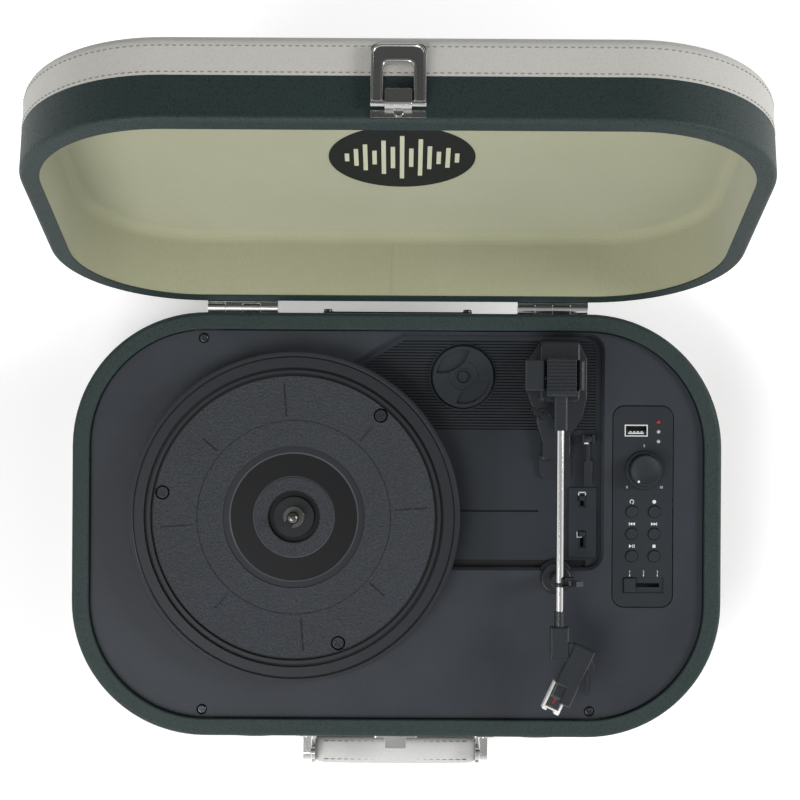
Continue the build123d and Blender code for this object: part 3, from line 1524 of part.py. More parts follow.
def make_main_board():
    """Amplifier board on four posts, with its heat sink, coils, capacitors and chip."""
    half = main_board_width / 2
    near = board_back - main_board_depth
    high = board_low + pcb_thickness
    board = box(-half, half, near, board_back, board_low, high)
    for x in (-half + board_post_inset, half - board_post_inset):
        for y in (near + board_post_inset, board_back - board_post_inset):
            board += upright(x, y, board_top, board_low, board_post_radius)
            board += upright(x, y, high, high + screw_head_height, small_head_radius)
    sink_left = -half + sink_from_left
    sink_back = board_back - sink_from_back
    board += box(sink_left, sink_left + sink_length, sink_back - sink_thickness, sink_back,
                 high, high + sink_height)
    coil_left = -half + coil_from_left
    coil_near = near + coil_from_front
    board += box(coil_left, coil_left + coil_size, coil_near, coil_near + coil_size,
                 high, high + coil_height)
    for i in range(3):
        x = (i - 0.5) * capacitor_pitch
        board += upright(x, board_back - capacitor_from_back, high, high + capacitor_height, capacitor_radius)
    chip_near = near + coil_from_front
    board += box(chip_left, chip_left + chip_size, chip_near, chip_near + chip_size,
                 high, high + chip_height)
    plug_left = half - plug_from_right
    plug_near = near + plug_from_front
    return board + box(plug_left, plug_left + plug_width, plug_near, plug_near + plug_length,
                       high, high + plug_height)


jack_places = [(i - 2) * jack_pitch for i in range(5)]
flange_out = back + rear_plate_thickness
plate_out = flange_out - rear_tray_depth
plate_in = plate_out - rear_plate_thickness
jack_body_width = 11.0
jack_body_height = 12.0
jack_body_depth = 12.0


def make_rear_plate():
    """Moulded socket tray let into the back wall, with a flange round it."""
    w, h = rear_plate_width / 2, rear_plate_height / 2
    shape = box(-w, w, back, flange_out, rear_z - h, rear_z + h)
    shape = fillet(shape.edges().filter_by(Axis.Y), 3)
    w -= rear_plate_rim + rear_tray_gap
    h -= rear_plate_rim + rear_tray_gap
    shape += box(-w, w, plate_in, back, rear_z - h, rear_z + h)
    w -= rear_tray_wall
    h -= rear_tray_wall
    shape -= box(-w, w, plate_out, flange_out + 1, rear_z - h, rear_z + h)
    radii = [rca_neck_radius, rca_neck_radius, aux_outer_radius, aux_outer_radius, dc_outer_radius]
    for x, radius in zip(jack_places, radii):
        shape -= through_bar(x, plate_in - 1, plate_out + 1, rear_z, radius)
    return less_screws(shape)


def jack_body(x):
    return box(x - jack_body_width / 2, x + jack_body_width / 2, plate_in - jack_body_depth, plate_in,
               rear_z - jack_body_height / 2, rear_z + jack_body_height / 2)


def make_rear_jacks():
    """Two line outputs, input and phones sockets, and the power inlet with its pin."""
    sockets = []
    for x in jack_places[:2]:
        neck_end = plate_out + rca_neck_rise
        end = neck_end + rca_length
        socket = jack_body(x) + through_bar(x, plate_in - 1, neck_end, rear_z, rca_neck_radius)
        socket += through_bar(x, neck_end, end, rear_z, rca_radius)
        sockets.append(socket - through_bar(x, neck_end - 1, end, rear_z, rca_bore_radius))
    for x in jack_places[2:4]:
        end = plate_out + 1.5
        socket = jack_body(x) + through_bar(x, plate_in - 1, end, rear_z, aux_outer_radius)
        sockets.append(socket - through_bar(x, end - aux_length, end, rear_z, aux_bore_radius))
    x = jack_places[4]
    socket = jack_body(x) + through_bar(x, plate_in - 1, plate_out, rear_z, dc_outer_radius)
    socket -= through_bar(x, plate_out - dc_length, plate_out, rear_z, dc_bore_radius)
    socket += through_bar(x, plate_out - dc_length - 1, plate_out - 1, rear_z, dc_pin_radius)
    return group(sockets + [socket])


wall_inside = front + inner_wall
basket_back = wall_inside + speaker_depth


def make_speakers():
    """Two round drivers behind the front wall: frame, cone and magnet."""
    drivers = []
    turned = Rot(90, 0, 0)
    for x in speaker_places():
        plate_end = wall_inside + speaker_plate
        driver = through_bar(x, wall_inside, plate_end, speaker_z, speaker_radius + speaker_flange)
        length = basket_back - plate_end
        basket = Cone(magnet_radius, speaker_radius, length)
        driver += Pos(x, (basket_back + plate_end) / 2, speaker_z) * turned * basket
        driver += through_bar(x, basket_back - 1, basket_back + magnet_length, speaker_z, magnet_radius)
        cone = Cone(5, speaker_radius - 3, cone_depth)
        driver -= Pos(x, wall_inside + cone_depth / 2, speaker_z) * turned * cone
        drivers.append(driver)
    return group(drivers)


def make_speaker_grilles():
    """Slotted discs pressed into the speaker holes from outside."""
    grilles = []
    for x in speaker_places():
        disc = through_bar(x, front - grille_thickness, front, speaker_z, speaker_radius + grille_rim)
        disc = fillet(disc.edges().group_by(Axis.Y)[0], 0.6)
        disc += through_bar(x, front, front + 3, speaker_z, speaker_radius)
        reach = int((speaker_radius - 2) / grille_pitch)
        for i in range(-reach, reach + 1):
            tall = sqrt((speaker_radius - 2) ** 2 - (i * grille_pitch) ** 2)
            disc -= box(x + i * grille_pitch - grille_slot / 2, x + i * grille_pitch + grille_slot / 2,
                        front - grille_thickness - 1, front + 4, speaker_z - tall, speaker_z + tall)
        grilles.append(disc)
    return group(grilles)


nodes["main_board"] = make_main_board()
nodes["rear_plate"] = make_rear_plate()
nodes["rear_jacks"] = make_rear_jacks()
nodes["speakers"] = make_speakers()
nodes["speaker_grilles"] = make_speaker_grilles()
nodes["case_screws"] = group(screws)


# ---------------------------------------------------------------- lid
lid_wall_split = lid_rim + binding_width
board_under_lid = lid_top - cover_thickness - board_thickness


def make_lid_shell():
    """Bent ply ring of the lid with its board."""
    shell = slab(cover_thickness, lid_rim + cover_thickness, lid_top - cover_thickness)
    shell = fillet(high_edges(shell), edge_radius - cover_thickness)
    shell = fillet(low_edges(shell), rim_round - cover_thickness)
    return open_lid(shell - slab(inner_wall, lid_rim, board_under_lid))


def make_lid_cover():
    """Leatherette round the lid's wall and over its rim, and the sheet on its top."""
    outer = fillet(low_edges(slab(0, lid_rim, lid_wall_split)), rim_round)
    inner = slab(cover_thickness, lid_rim + cover_thickness, lid_wall_split)
    cover = outer - fillet(low_edges(inner), rim_round - cover_thickness)
    cover -= slab(rim_width, lid_rim, lid_rim + cover_thickness)
    sheet = slab(binding_return, lid_top - cover_thickness, lid_top)
    return group([open_lid(cover), open_lid(sheet)])


def make_lid_binding():
    """Pale binding round the lid's edge, folded onto its top."""
    outer = fillet(high_edges(slab(0, lid_wall_split, lid_top)), edge_radius)
    inner = slab(cover_thickness, lid_wall_split, lid_top - cover_thickness)
    inner = fillet(high_edges(inner), edge_radius - cover_thickness)
    return open_lid(outer - inner - slab(binding_return, lid_top - cover_thickness, lid_top))


def make_lid_lining():
    """Cloth lining of the lid with a soft corner round its ceiling."""
    hollow = slab(rim_width, lid_rim, lid_inside)
    hollow = fillet(high_edges(hollow), lining_corner_radius)
    return open_lid(slab(inner_wall, lid_rim + cover_thickness, board_under_lid) - hollow)


nodes["lid_shell"] = make_lid_shell()
nodes["lid_cover"] = make_lid_cover()
nodes["lid_binding"] = make_lid_binding()
nodes["lid_lining"] = make_lid_lining()


# ---------------------------------------------------------------- hinges
knuckle_pitch = hinge_length / knuckles
leaf_back = back + leaf_thickness
leaf_rivet = 2.2
leaf_rivet_height = 0.8


def hinge_leaf(x, first, low, high, rivet_z):
    """One leaf with every second knuckle, beginning with the given one."""
    start = x - hinge_length / 2
    leaf = box(start, start + hinge_length, back, leaf_back, low, high)
    for dx in (-hinge_length / 3, 0, hinge_length / 3):
        leaf += through_bar(x + dx, leaf_back - 0.2, leaf_back + leaf_rivet_height, rivet_z, leaf_rivet)
    for i in range(knuckles):
        x0 = start + i * knuckle_pitch
        x1 = x0 + knuckle_pitch
        if i % 2 == first:
            leaf += cross_bar(x0 + knuckle_gap / 2, x1 - knuckle_gap / 2, hinge_y, hinge_z, barrel_radius)
        else:
            leaf -= cross_bar(x0 - knuckle_gap / 2, x1 + knuckle_gap / 2, hinge_y, hinge_z,
                              barrel_radius + knuckle_gap)
    return leaf


def make_hinge_base_leaves():
    """Leaves riveted to the base's back, with the hinge pins."""
    leaves = []
    for x in (-hinge_offset, hinge_offset):
        leaf = hinge_leaf(x, 0, hinge_z - leaf_height, hinge_z, hinge_z - leaf_height * 0.65)
        pin = cross_bar(x - hinge_length / 2, x + hinge_length / 2, hinge_y, hinge_z, hinge_pin_radius)
        leaves.append(leaf + pin)
    return group(leaves)


def make_hinge_lid_leaves():
    """Leaves riveted to the lid's back, bored for the pins."""
    leaves = []
    for x in (-hinge_offset, hinge_offset):
        leaf = hinge_leaf(x, 1, hinge_z, hinge_z + leaf_height, hinge_z + leaf_height * 0.65)
        leaf -= box(x - hinge_length, x + hinge_length, back, back + leaf_relief, hinge_z, lid_rim)
        leaf -= cross_bar(x - hinge_length, x + hinge_length, hinge_y, hinge_z,
                          hinge_pin_radius + running_clearance)
        leaves.append(open_lid(leaf))
    return group(leaves)


nodes["hinge_base_leaves"] = make_hinge_base_leaves()
nodes["hinge_lid_leaves"] = make_hinge_lid_leaves()


# ---------------------------------------------------------------- latch
def make_latch_plate():
    """Steel strip on the lid's front, rolled round the hasp's bar, with a wide riveted foot
    and its end left standing as a tongue inside the hasp's window."""
    half = latch_strip_width / 2
    low = lid_rim + latch_strip_low
    wide = hasp_width / 2
    strip = box(-half, half, front - latch_strip_thickness, front, low, hasp_z + latch_roll_radius)
    strip += box(-wide, wide, front - latch_strip_thickness, front, low, low + latch_foot_height)
    strip += cross_bar(-half, half, hasp_y, hasp_z, latch_roll_radius)
    outer = hasp_y - latch_roll_radius
    tongue = box(-half, half, outer, outer + latch_strip_thickness, hasp_z, hasp_z + latch_tongue_rise)
    strip += fillet(tongue.edges().filter_by(Axis.Y).group_by(Axis.Z)[-1], 1.0)
    rivet_out = front - latch_strip_thickness - latch_rivet_height
    strip += through_bar(0, rivet_out, front, low + latch_rivet_radius + 0.3, latch_rivet_radius)
    strip -= cross_bar(-half - 1, half + 1, hasp_y, hasp_z, hasp_bar_radius + running_clearance)
    return open_lid(strip)


def make_latch_hasp():
    """Swinging hasp: a loop closed by its hinge bar, folded up against the lid."""
    half = hasp_width / 2
    y0, y1 = hasp_y - hasp_thickness / 2, hasp_y + hasp_thickness / 2
    top = hasp_z + hasp_length
    hasp = box(-half, half, y0, y1, hasp_z, top)
    hasp = fillet(hasp.edges().filter_by(Axis.Y).group_by(Axis.Z)[-1], 3)
    side = hasp_window_width / 2
    window = box(-side, side, y0 - 1, y1 + 1, hasp_z - 1, hasp_z + hasp_window_end)
    hasp -= fillet(window.edges().filter_by(Axis.Y).group_by(Axis.Z)[-1], 3)
    return open_lid(hasp + cross_bar(-half, half, hasp_y, hasp_z, hasp_bar_radius))


def make_latch_keeper():
    """Plate on the base's front with the hook that the hasp drops over."""
    top = rim - keeper_drop
    plate_front = front - keeper_thickness
    keeper = box(-keeper_width / 2, keeper_width / 2, plate_front, front, top - keeper_plate_height, top)
    keeper = fillet(keeper.edges().filter_by(Axis.Y), 1.5)
    high = rim - hook_below_rim
    low = high - hook_thickness
    half = hook_width / 2
    end = plate_front - hook_reach + 1
    keeper += box(-half, half, end, front, low, high)
    keeper += box(-half, half, end, end + 2.0, low - hook_lip, high)
    for x in (-keeper_width / 2 + 3.2, keeper_width / 2 - 3.2):
        keeper += through_bar(x, plate_front - 0.6, front, top - 12, 1.8)
    return keeper


nodes["latch_plate"] = make_latch_plate()
nodes["latch_hasp"] = make_latch_hasp()
nodes["latch_keeper"] = make_latch_keeper()


# ---------------------------------------------------------------- handle
handle_knuckle = 4.5


def make_handle_grip():
    """Padded strap grip between its two links."""
    half = grip_length / 2
    grip = box(-half, half, handle_y - grip_thickness / 2, handle_y + grip_thickness / 2,
               grip_top - grip_height, grip_top)
    return fillet(grip.edges().filter_by(Axis.X), 6)


def make_handle_links():
    """Steel links that carry the grip's ends on the pivots."""
    links = []
    low = grip_top - grip_height * 0.6
    for s in (-1, 1):
        x0, x1 = sorted((s * link_in, s * link_out))
        link = box(x0, x1, handle_y - link_width / 2, handle_y + link_width / 2, low, handle_z - 2)
        link = fillet(link.edges().filter_by(Axis.X).group_by(Axis.Z)[0], 3)
        link += cross_bar(x0, x1, handle_y, handle_z, handle_knuckle)
        hole = handle_pin_radius + running_clearance
        links.append(link - cross_bar(x0 - 1, x1 + 1, handle_y, handle_z, hole))
    return group(links)


def make_handle_posts():
    """Riveted brackets with the pivot pins."""
    posts = []
    for s in (-1, 1):
        middle = s * (post_in + post_out) / 2
        shape = box(middle - post_width / 2, middle + post_width / 2, front - post_plate_thickness, front,
                    handle_z - post_plate_height / 2, handle_z + post_plate_height / 2)
        shape = fillet(shape.edges().filter_by(Axis.Y), 2)
        x0, x1 = sorted((s * post_in, s * post_out))
        shape += box(x0, x1, handle_y, front, handle_z - handle_knuckle, handle_z + handle_knuckle)
        shape += cross_bar(x0, x1, handle_y, handle_z, handle_knuckle)
        p0, p1 = sorted((s * (link_in + 0.2), s * post_out))
        shape += cross_bar(p0, p1, handle_y, handle_z, handle_pin_radius)
        for z in (-1, 1):
            shape += through_bar(middle, front - post_plate_thickness - 0.8, front,
                                 handle_z + z * (post_plate_height / 2 - 3), 1.8)
        posts.append(shape)
    return group(posts)


nodes["handle_grip"] = make_handle_grip()
nodes["handle_links"] = make_handle_links()
nodes["handle_posts"] = make_handle_posts()

# ---------------------------------------------------------------- put the origin under the middle and export
whole = Compound(children=[copy.copy(shape) for shape in nodes.values()]).bounding_box()
shift = -(whole.min.Y + whole.max.Y) / 2
os.makedirs("parts", exist_ok=True)
for name, shape in nodes.items():
    export_step(Pos(0, shift, 0) * shape, "parts/" + name + ".step")
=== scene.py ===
import json
import math

import bmesh
import bpy
import numpy as np
from mathutils import Matrix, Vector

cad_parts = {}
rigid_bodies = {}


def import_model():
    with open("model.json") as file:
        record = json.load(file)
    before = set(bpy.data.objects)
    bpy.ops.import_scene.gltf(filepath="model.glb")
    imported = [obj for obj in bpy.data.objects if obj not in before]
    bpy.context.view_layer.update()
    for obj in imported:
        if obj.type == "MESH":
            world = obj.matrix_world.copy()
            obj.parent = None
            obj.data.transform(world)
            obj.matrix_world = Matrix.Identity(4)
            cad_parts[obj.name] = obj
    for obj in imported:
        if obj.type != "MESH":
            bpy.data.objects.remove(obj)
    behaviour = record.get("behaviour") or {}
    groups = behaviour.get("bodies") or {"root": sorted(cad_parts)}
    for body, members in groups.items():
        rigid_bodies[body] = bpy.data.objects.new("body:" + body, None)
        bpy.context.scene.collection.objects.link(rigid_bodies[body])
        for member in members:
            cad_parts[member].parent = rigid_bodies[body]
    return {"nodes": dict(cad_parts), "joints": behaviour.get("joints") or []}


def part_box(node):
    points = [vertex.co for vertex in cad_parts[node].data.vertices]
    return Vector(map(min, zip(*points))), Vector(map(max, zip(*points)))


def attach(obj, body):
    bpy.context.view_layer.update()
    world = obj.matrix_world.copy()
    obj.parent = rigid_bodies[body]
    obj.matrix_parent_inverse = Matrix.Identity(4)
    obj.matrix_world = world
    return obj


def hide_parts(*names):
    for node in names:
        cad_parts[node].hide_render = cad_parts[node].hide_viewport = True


# A suitcase record player standing open, seen from straight above on a pale floor.
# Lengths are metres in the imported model's own frame: X right, Y back, Z up.
for thing in list(bpy.data.objects):
    bpy.data.objects.remove(thing)
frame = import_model()
nodes = frame["nodes"]
joints = {joint["name"]: joint for joint in frame["joints"]}
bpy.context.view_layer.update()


# ================================================================ camera
# A long lens straight above the deck, turned a third of a degree.
base_low, base_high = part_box("base_cover")
case_y = (base_low.y + base_high.y) / 2
rim_z = base_high.z
camera_height = 1.200
camera_data = bpy.data.cameras.new("camera")
camera_data.lens = 90.45
camera_data.sensor_width = 36
camera = bpy.data.objects.new("camera", camera_data)
camera.location = (0.00164, case_y + 0.0746, rim_z + camera_height)
camera.rotation_euler = (0, 0, math.radians(0.338))
bpy.context.scene.collection.objects.link(camera)
bpy.context.scene.camera = camera
bpy.context.scene.view_settings.view_transform = "Standard"


# ================================================================ lamps and floor
# Soft studio light: a room that is pale at its front and sides and dim overhead and behind, a large lamp
# at the front left and a smaller, lower one at the right. The floor is white board that keeps the shadow,
# and glows a little more behind the case, where the open lid shades it.
def add(tree, kind, inputs=None, **settings):
    """One shader node; each input is a number, a colour or another node's output."""
    node = tree.nodes.new("ShaderNode" + kind)
    for key, value in settings.items():
        setattr(node, key, value)
    for key, value in (inputs or {}).items():
        socket = node.inputs[key]
        if isinstance(value, bpy.types.NodeSocket):
            tree.links.new(value, socket)
        else:
            socket.default_value = value
    return node


def paint(red, green, blue):
    """A colour as a paint chart gives it, 0 to 255, turned into the shader's linear values."""
    chart = np.array([red, green, blue]) / 255
    linear = np.where(chart <= 0.04045, chart / 12.92, ((chart + 0.055) / 1.055) ** 2.4)
    return (*[float(value) for value in linear], 1.0)


side_level = 0.95
overhead_level = 0.42
world = bpy.data.worlds.new("pale_room")
world.use_nodes = True
room = world.node_tree
room.nodes.clear()
rays = add(room, "LightPath")
way = add(room, "SeparateXYZ", {"Vector": add(room, "TexCoord").outputs["Generated"]})
rise = add(room, "MapRange", {"Value": way.outputs["Z"], 1: 0.35, 2: 0.95, 3: side_level, 4: overhead_level},
           interpolation_type="SMOOTHSTEP")
behind = add(room, "MapRange", {"Value": way.outputs["Y"], 1: 0.1, 2: 0.6, 3: 1.0, 4: 0.15},
             interpolation_type="SMOOTHSTEP")
level = add(room, "Math", {0: rise.outputs[0], 1: behind.outputs[0]}, operation="MULTIPLY")
seen = add(room, "Math", {0: rays.outputs["Is Camera Ray"], 1: level.outputs[0]}, operation="MAXIMUM")
sky = add(room, "Background", {"Color": (1, 1, 1, 1), "Strength": seen.outputs[0]})
add(room, "OutputWorld", {"Surface": sky.outputs[0]})
bpy.context.scene.world = world


def lamp(name, place, aim, size, power):
    """A square soft lamp facing a point."""
    data = bpy.data.lights.new(name, "AREA")
    data.size = size
    data.energy = power
    item = bpy.data.objects.new(name, data)
    towards = Matrix.Translation(place).inverted() @ Matrix.Translation(aim)
    item.rotation_euler = towards.translation.to_track_quat("-Z", "Y").to_euler()
    item.location = place
    bpy.context.scene.collection.objects.link(item)


lamp("main_lamp", (-0.7, case_y - 0.75, 1.55), (0, case_y, 0), 1.0, 18)
lamp("side_lamp", (1.5, case_y + 0.3, 1.1), (0, case_y, 0), 0.5, 14)

floor_size = 6.0
floor_mesh = bpy.data.meshes.new("floor")
corner = floor_size / 2
floor_corners = [(-corner, -corner, 0), (corner, -corner, 0), (corner, corner, 0), (-corner, corner, 0)]
floor_mesh.from_pydata(floor_corners, [], [(0, 1, 2, 3)])
floor = bpy.data.objects.new("floor", floor_mesh)
bpy.context.scene.collection.objects.link(floor)
board = bpy.data.materials.new("white_board")
board.use_nodes = True
tree = board.node_tree
tree.nodes.clear()
rays = add(tree, "LightPath")
shown = add(tree, "Math", {0: rays.outputs["Is Camera Ray"], 1: rays.outputs["Is Glossy Ray"]},
            operation="MAXIMUM")
spot = add(tree, "SeparateXYZ", {"Vector": add(tree, "TexCoord").outputs["Object"]})
front_glow, shaded_glow = 0.2, 0.46
glow_from, glow_to = case_y + 0.06, case_y + 0.20
paler = add(tree, "MapRange", {"Value": spot.outputs["Y"], 1: glow_from, 2: glow_to,
                                3: front_glow, 4: shaded_glow},
            interpolation_type="SMOOTHSTEP")
glow = add(tree, "Math", {0: shown.outputs[0], 1: paler.outputs[0]}, operation="MULTIPLY")
matt = add(tree, "BsdfDiffuse", {"Color": (0.9, 0.9, 0.9, 1)})
light = add(tree, "Emission", {"Color": (1, 1, 1, 1), "Strength": glow.outputs[0]})
both = add(tree, "AddShader", {0: matt.outputs[0], 1: light.outputs[0]})
add(tree, "OutputMaterial", {"Surface": both.outputs[0]})
floor_mesh.materials.append(board)


# ================================================================ case of the base
# Bent ply ring covered with dark green leatherette, which goes over the rim and a little way
# down inside; glued on. Pale binding is folded round its foot and sewn.
def start_material(name):
    """A material with one principled shader; gives the material, its tree and the shader."""
    material = bpy.data.materials.new(name)
    material.use_nodes = True
    tree = material.node_tree
    return material, tree, tree.nodes["Principled BSDF"]


def leatherette(name, face, crease, cell=0.0010, depth=0.00012, roughness=0.48, shift=0.12):
    """Embossed vinyl: small cells between creases over finer pores, with slow changes of tone."""
    material, tree, shader = start_material(name)
    place = add(tree, "TexCoord").outputs["Object"]
    bend = add(tree, "TexNoise", {"Vector": place, "Scale": 420.0, "Detail": 2.0})
    spread = add(tree, "VectorMath", {0: bend.outputs["Color"], 1: (0.0006, 0.0006, 0.0006)},
                 operation="MULTIPLY")
    moved = add(tree, "VectorMath", {0: place, 1: spread.outputs[0]}, operation="ADD")
    cells = add(tree, "TexVoronoi", {"Vector": moved.outputs[0], "Scale": 1 / cell},
                feature="DISTANCE_TO_EDGE")
    domes = add(tree, "MapRange", {"Value": cells.outputs["Distance"], 1: 0.0, 2: 0.22},
                interpolation_type="SMOOTHSTEP")
    pores = add(tree, "TexNoise", {"Vector": place, "Scale": 3 / cell, "Detail": 3.0})
    height = add(tree, "Math", {0: pores.outputs["Fac"], 1: 0.5, 2: domes.outputs[0]},
                 operation="MULTIPLY_ADD")
    bump = add(tree, "Bump", {"Strength": 0.8, "Distance": depth, "Height": height.outputs[0]})
    tone = add(tree, "TexNoise", {"Vector": place, "Scale": 9.0, "Detail": 4.0, "Roughness": 0.6})
    wear = add(tree, "MapRange", {"Value": tone.outputs["Fac"], 1: 0.3, 2: 0.7, 3: -shift, 4: shift})
    share = add(tree, "Math", {0: domes.outputs[0], 1: wear.outputs[0]}, operation="ADD")
    share.use_clamp = True
    mixed = add(tree, "Mix", {0: share.outputs[0], "A": crease, "B": face}, data_type="RGBA")
    gloss = add(tree, "MapRange", {"Value": share.outputs[0], 3: roughness + 0.14, 4: roughness})
    tree.links.new(mixed.outputs["Result"], shader.inputs["Base Color"])
    tree.links.new(gloss.outputs[0], shader.inputs["Roughness"])
    tree.links.new(bump.outputs[0], shader.inputs["Normal"])
    shader.inputs["Specular IOR Level"].default_value = 0.35
    return material


def dress(node, material):
    """Gives a carried-over node its finish."""
    mesh = nodes[node].data
    mesh.materials.clear()
    mesh.materials.append(material)


def put_piece(name, places, faces, material, body, crisp=40):
    """A new piece from an array of places and rows of corner numbers, facing outwards and smooth under
    an angle."""
    mesh = bpy.data.meshes.new(name)
    mesh.from_pydata(places.reshape(-1, 3).tolist(), [], [list(face) for face in faces])
    bm = bmesh.new()
    bm.from_mesh(mesh)
    bmesh.ops.recalc_face_normals(bm, faces=bm.faces)
    bm.to_mesh(mesh)
    bm.free()
    mesh.shade_smooth()
    mesh.set_sharp_from_angle(angle=math.radians(crisp))
    mesh.materials.append(material)
    piece = bpy.data.objects.new(name, mesh)
    bpy.context.scene.collection.objects.link(piece)
    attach(piece, body)
    return piece


def net(rows, columns, closed_rows=False, closed_columns=True):
    """Corner numbers of the squares of a grid, wrapped where it closes on itself."""
    r = np.arange(rows if closed_rows else rows - 1)
    c = np.arange(columns if closed_columns else columns - 1)
    r, c = [item.ravel() for item in np.meshgrid(r, c, indexing="ij")]
    r2, c2 = (r + 1) % rows, (c + 1) % columns
    return np.stack([r * columns + c, r * columns + c2, r2 * columns + c2, r2 * columns + c], 1)


def capped(rows, columns):
    """Squares of a tube of rings, with its two end rings as faces."""
    first = list(range(columns))
    last = list(range((rows - 1) * columns, rows * columns))
    return net(rows, columns).tolist() + [first[::-1], last]


half_width = (base_high.x - base_low.x) / 2
half_depth = (base_high.y - base_low.y) / 2
case_corner = 0.080


def wall_line(inset, pitch):
    """Even places round the case's plan, set in from its outer face, with the outward direction at each.
    The plan is four corner arcs joined by straight sides."""
    reach = np.array([[half_width, half_depth], [-half_width, half_depth],
                      [-half_width, -half_depth], [half_width, -half_depth]])
    middles = reach - np.sign(reach) * case_corner
    turn = np.linspace(0, math.pi / 2, 60)
    angles = np.concatenate([turn + i * math.pi / 2 for i in range(4)])
    out = np.stack([np.cos(angles), np.sin(angles)], 1)
    line = np.repeat(middles, len(turn), axis=0) + out * (case_corner - inset)
    line = np.vstack([line, line[:1]])
    out = np.vstack([out, out[:1]])
    run = np.concatenate([[0], np.cumsum(np.hypot(*np.diff(line, axis=0).T))])
    count = round(run[-1] / pitch)
    at = np.arange(count) * run[-1] / count
    place = np.stack([np.interp(at, run, line[:, i]) for i in range(2)], 1)
    normal = np.stack([np.interp(at, run, out[:, i]) for i in range(2)], 1)
    normal /= np.hypot(*normal.T)[:, None]
    return place, normal


def stitch_row(name, middles, along, out, material, body, length=0.0020, thick=0.00034):
    """Sewing thread: one short rounded bead along each place, half sunk. Each bead is five rings of six
    corners, thin at its ends."""
    ends = np.array([-1, -0.82, 0, 0.82, 1]) * length / 2
    width = np.array([0.25, 0.8, 1, 0.8, 0.25]) * thick
    angles = np.arange(6) * math.pi / 3
    side = np.cross(along, out)
    ring = (np.cos(angles)[:, None, None] * side + np.sin(angles)[:, None, None] * out).transpose(1, 0, 2)
    beads = (middles[:, None, None, :] + ends[None, :, None, None] * along[:, None, None, :]
             + width[None, :, None, None] * ring[:, None, :, :])
    one = capped(5, 6)
    faces = [[corner + i * 30 for corner in face] for i in range(len(middles)) for face in one]
    return put_piece(name, beads, faces, material, body, crisp=80)


green = leatherette("green_leatherette", paint(38, 56, 54), paint(24, 36, 35), depth=0.00008)
pale = leatherette("pale_leatherette", paint(199, 198, 193), paint(186, 184, 178), cell=0.0008, depth=0.00003)
thread, tree, shader = start_material("pale_thread")
twist = add(tree, "TexWave", {"Vector": add(tree, "TexCoord").outputs["Object"], "Scale": 900.0,
                              "Distortion": 1.0})
ply_turn = add(tree, "Mix", {0: twist.outputs["Fac"], "A": paint(112, 108, 100), "B": paint(150, 147, 139)},
               data_type="RGBA")
tree.links.new(ply_turn.outputs["Result"], shader.inputs["Base Color"])
shader.inputs["Roughness"].default_value = 0.8

dress("base_cover", green)
dress("base_binding", pale)
_, binding_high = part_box("base_binding")
seam_pitch = 0.0035
row, row_out = wall_line(0, seam_pitch)
out3 = np.column_stack([row_out, np.zeros(len(row))])
along3 = np.column_stack([-row_out[:, 1], row_out[:, 0], np.zeros(len(row))])
foot_row = np.column_stack([row[:, 0], row[:, 1] + case_y, np.full(len(row), binding_high.z - 0.0028)])
stitch_row("base_stitches", foot_row, along3, out3, thread, "base")


def ply_wood(name, light, dark):
    """Bent ply: long pale and brown grain lines with a little gloss from sealer."""
    material, tree, shader = start_material(name)
    place = add(tree, "Mapping", {"Vector": add(tree, "TexCoord").outputs["Object"],
                                  "Scale": (1.0, 1.0, 9.0)})
    grain = add(tree, "TexNoise", {"Vector": place.outputs[0], "Scale": 60.0, "Detail": 6.0,
                                   "Distortion": 0.6})
    mixed = add(tree, "Mix", {0: grain.outputs["Fac"], "A": dark, "B": light}, data_type="RGBA")
    bump = add(tree, "Bump", {"Strength": 0.4, "Distance": 0.0002, "Height": grain.outputs["Fac"]})
    tree.links.new(mixed.outputs["Result"], shader.inputs["Base Color"])
    tree.links.new(bump.outputs[0], shader.inputs["Normal"])
    shader.inputs["Roughness"].default_value = 0.62
    return material


birch = ply_wood("birch_ply", paint(214, 184, 140), paint(168, 130, 86))
for node in ("base_frame", "bottom_panel", "lid_shell"):
    dress(node, birch)


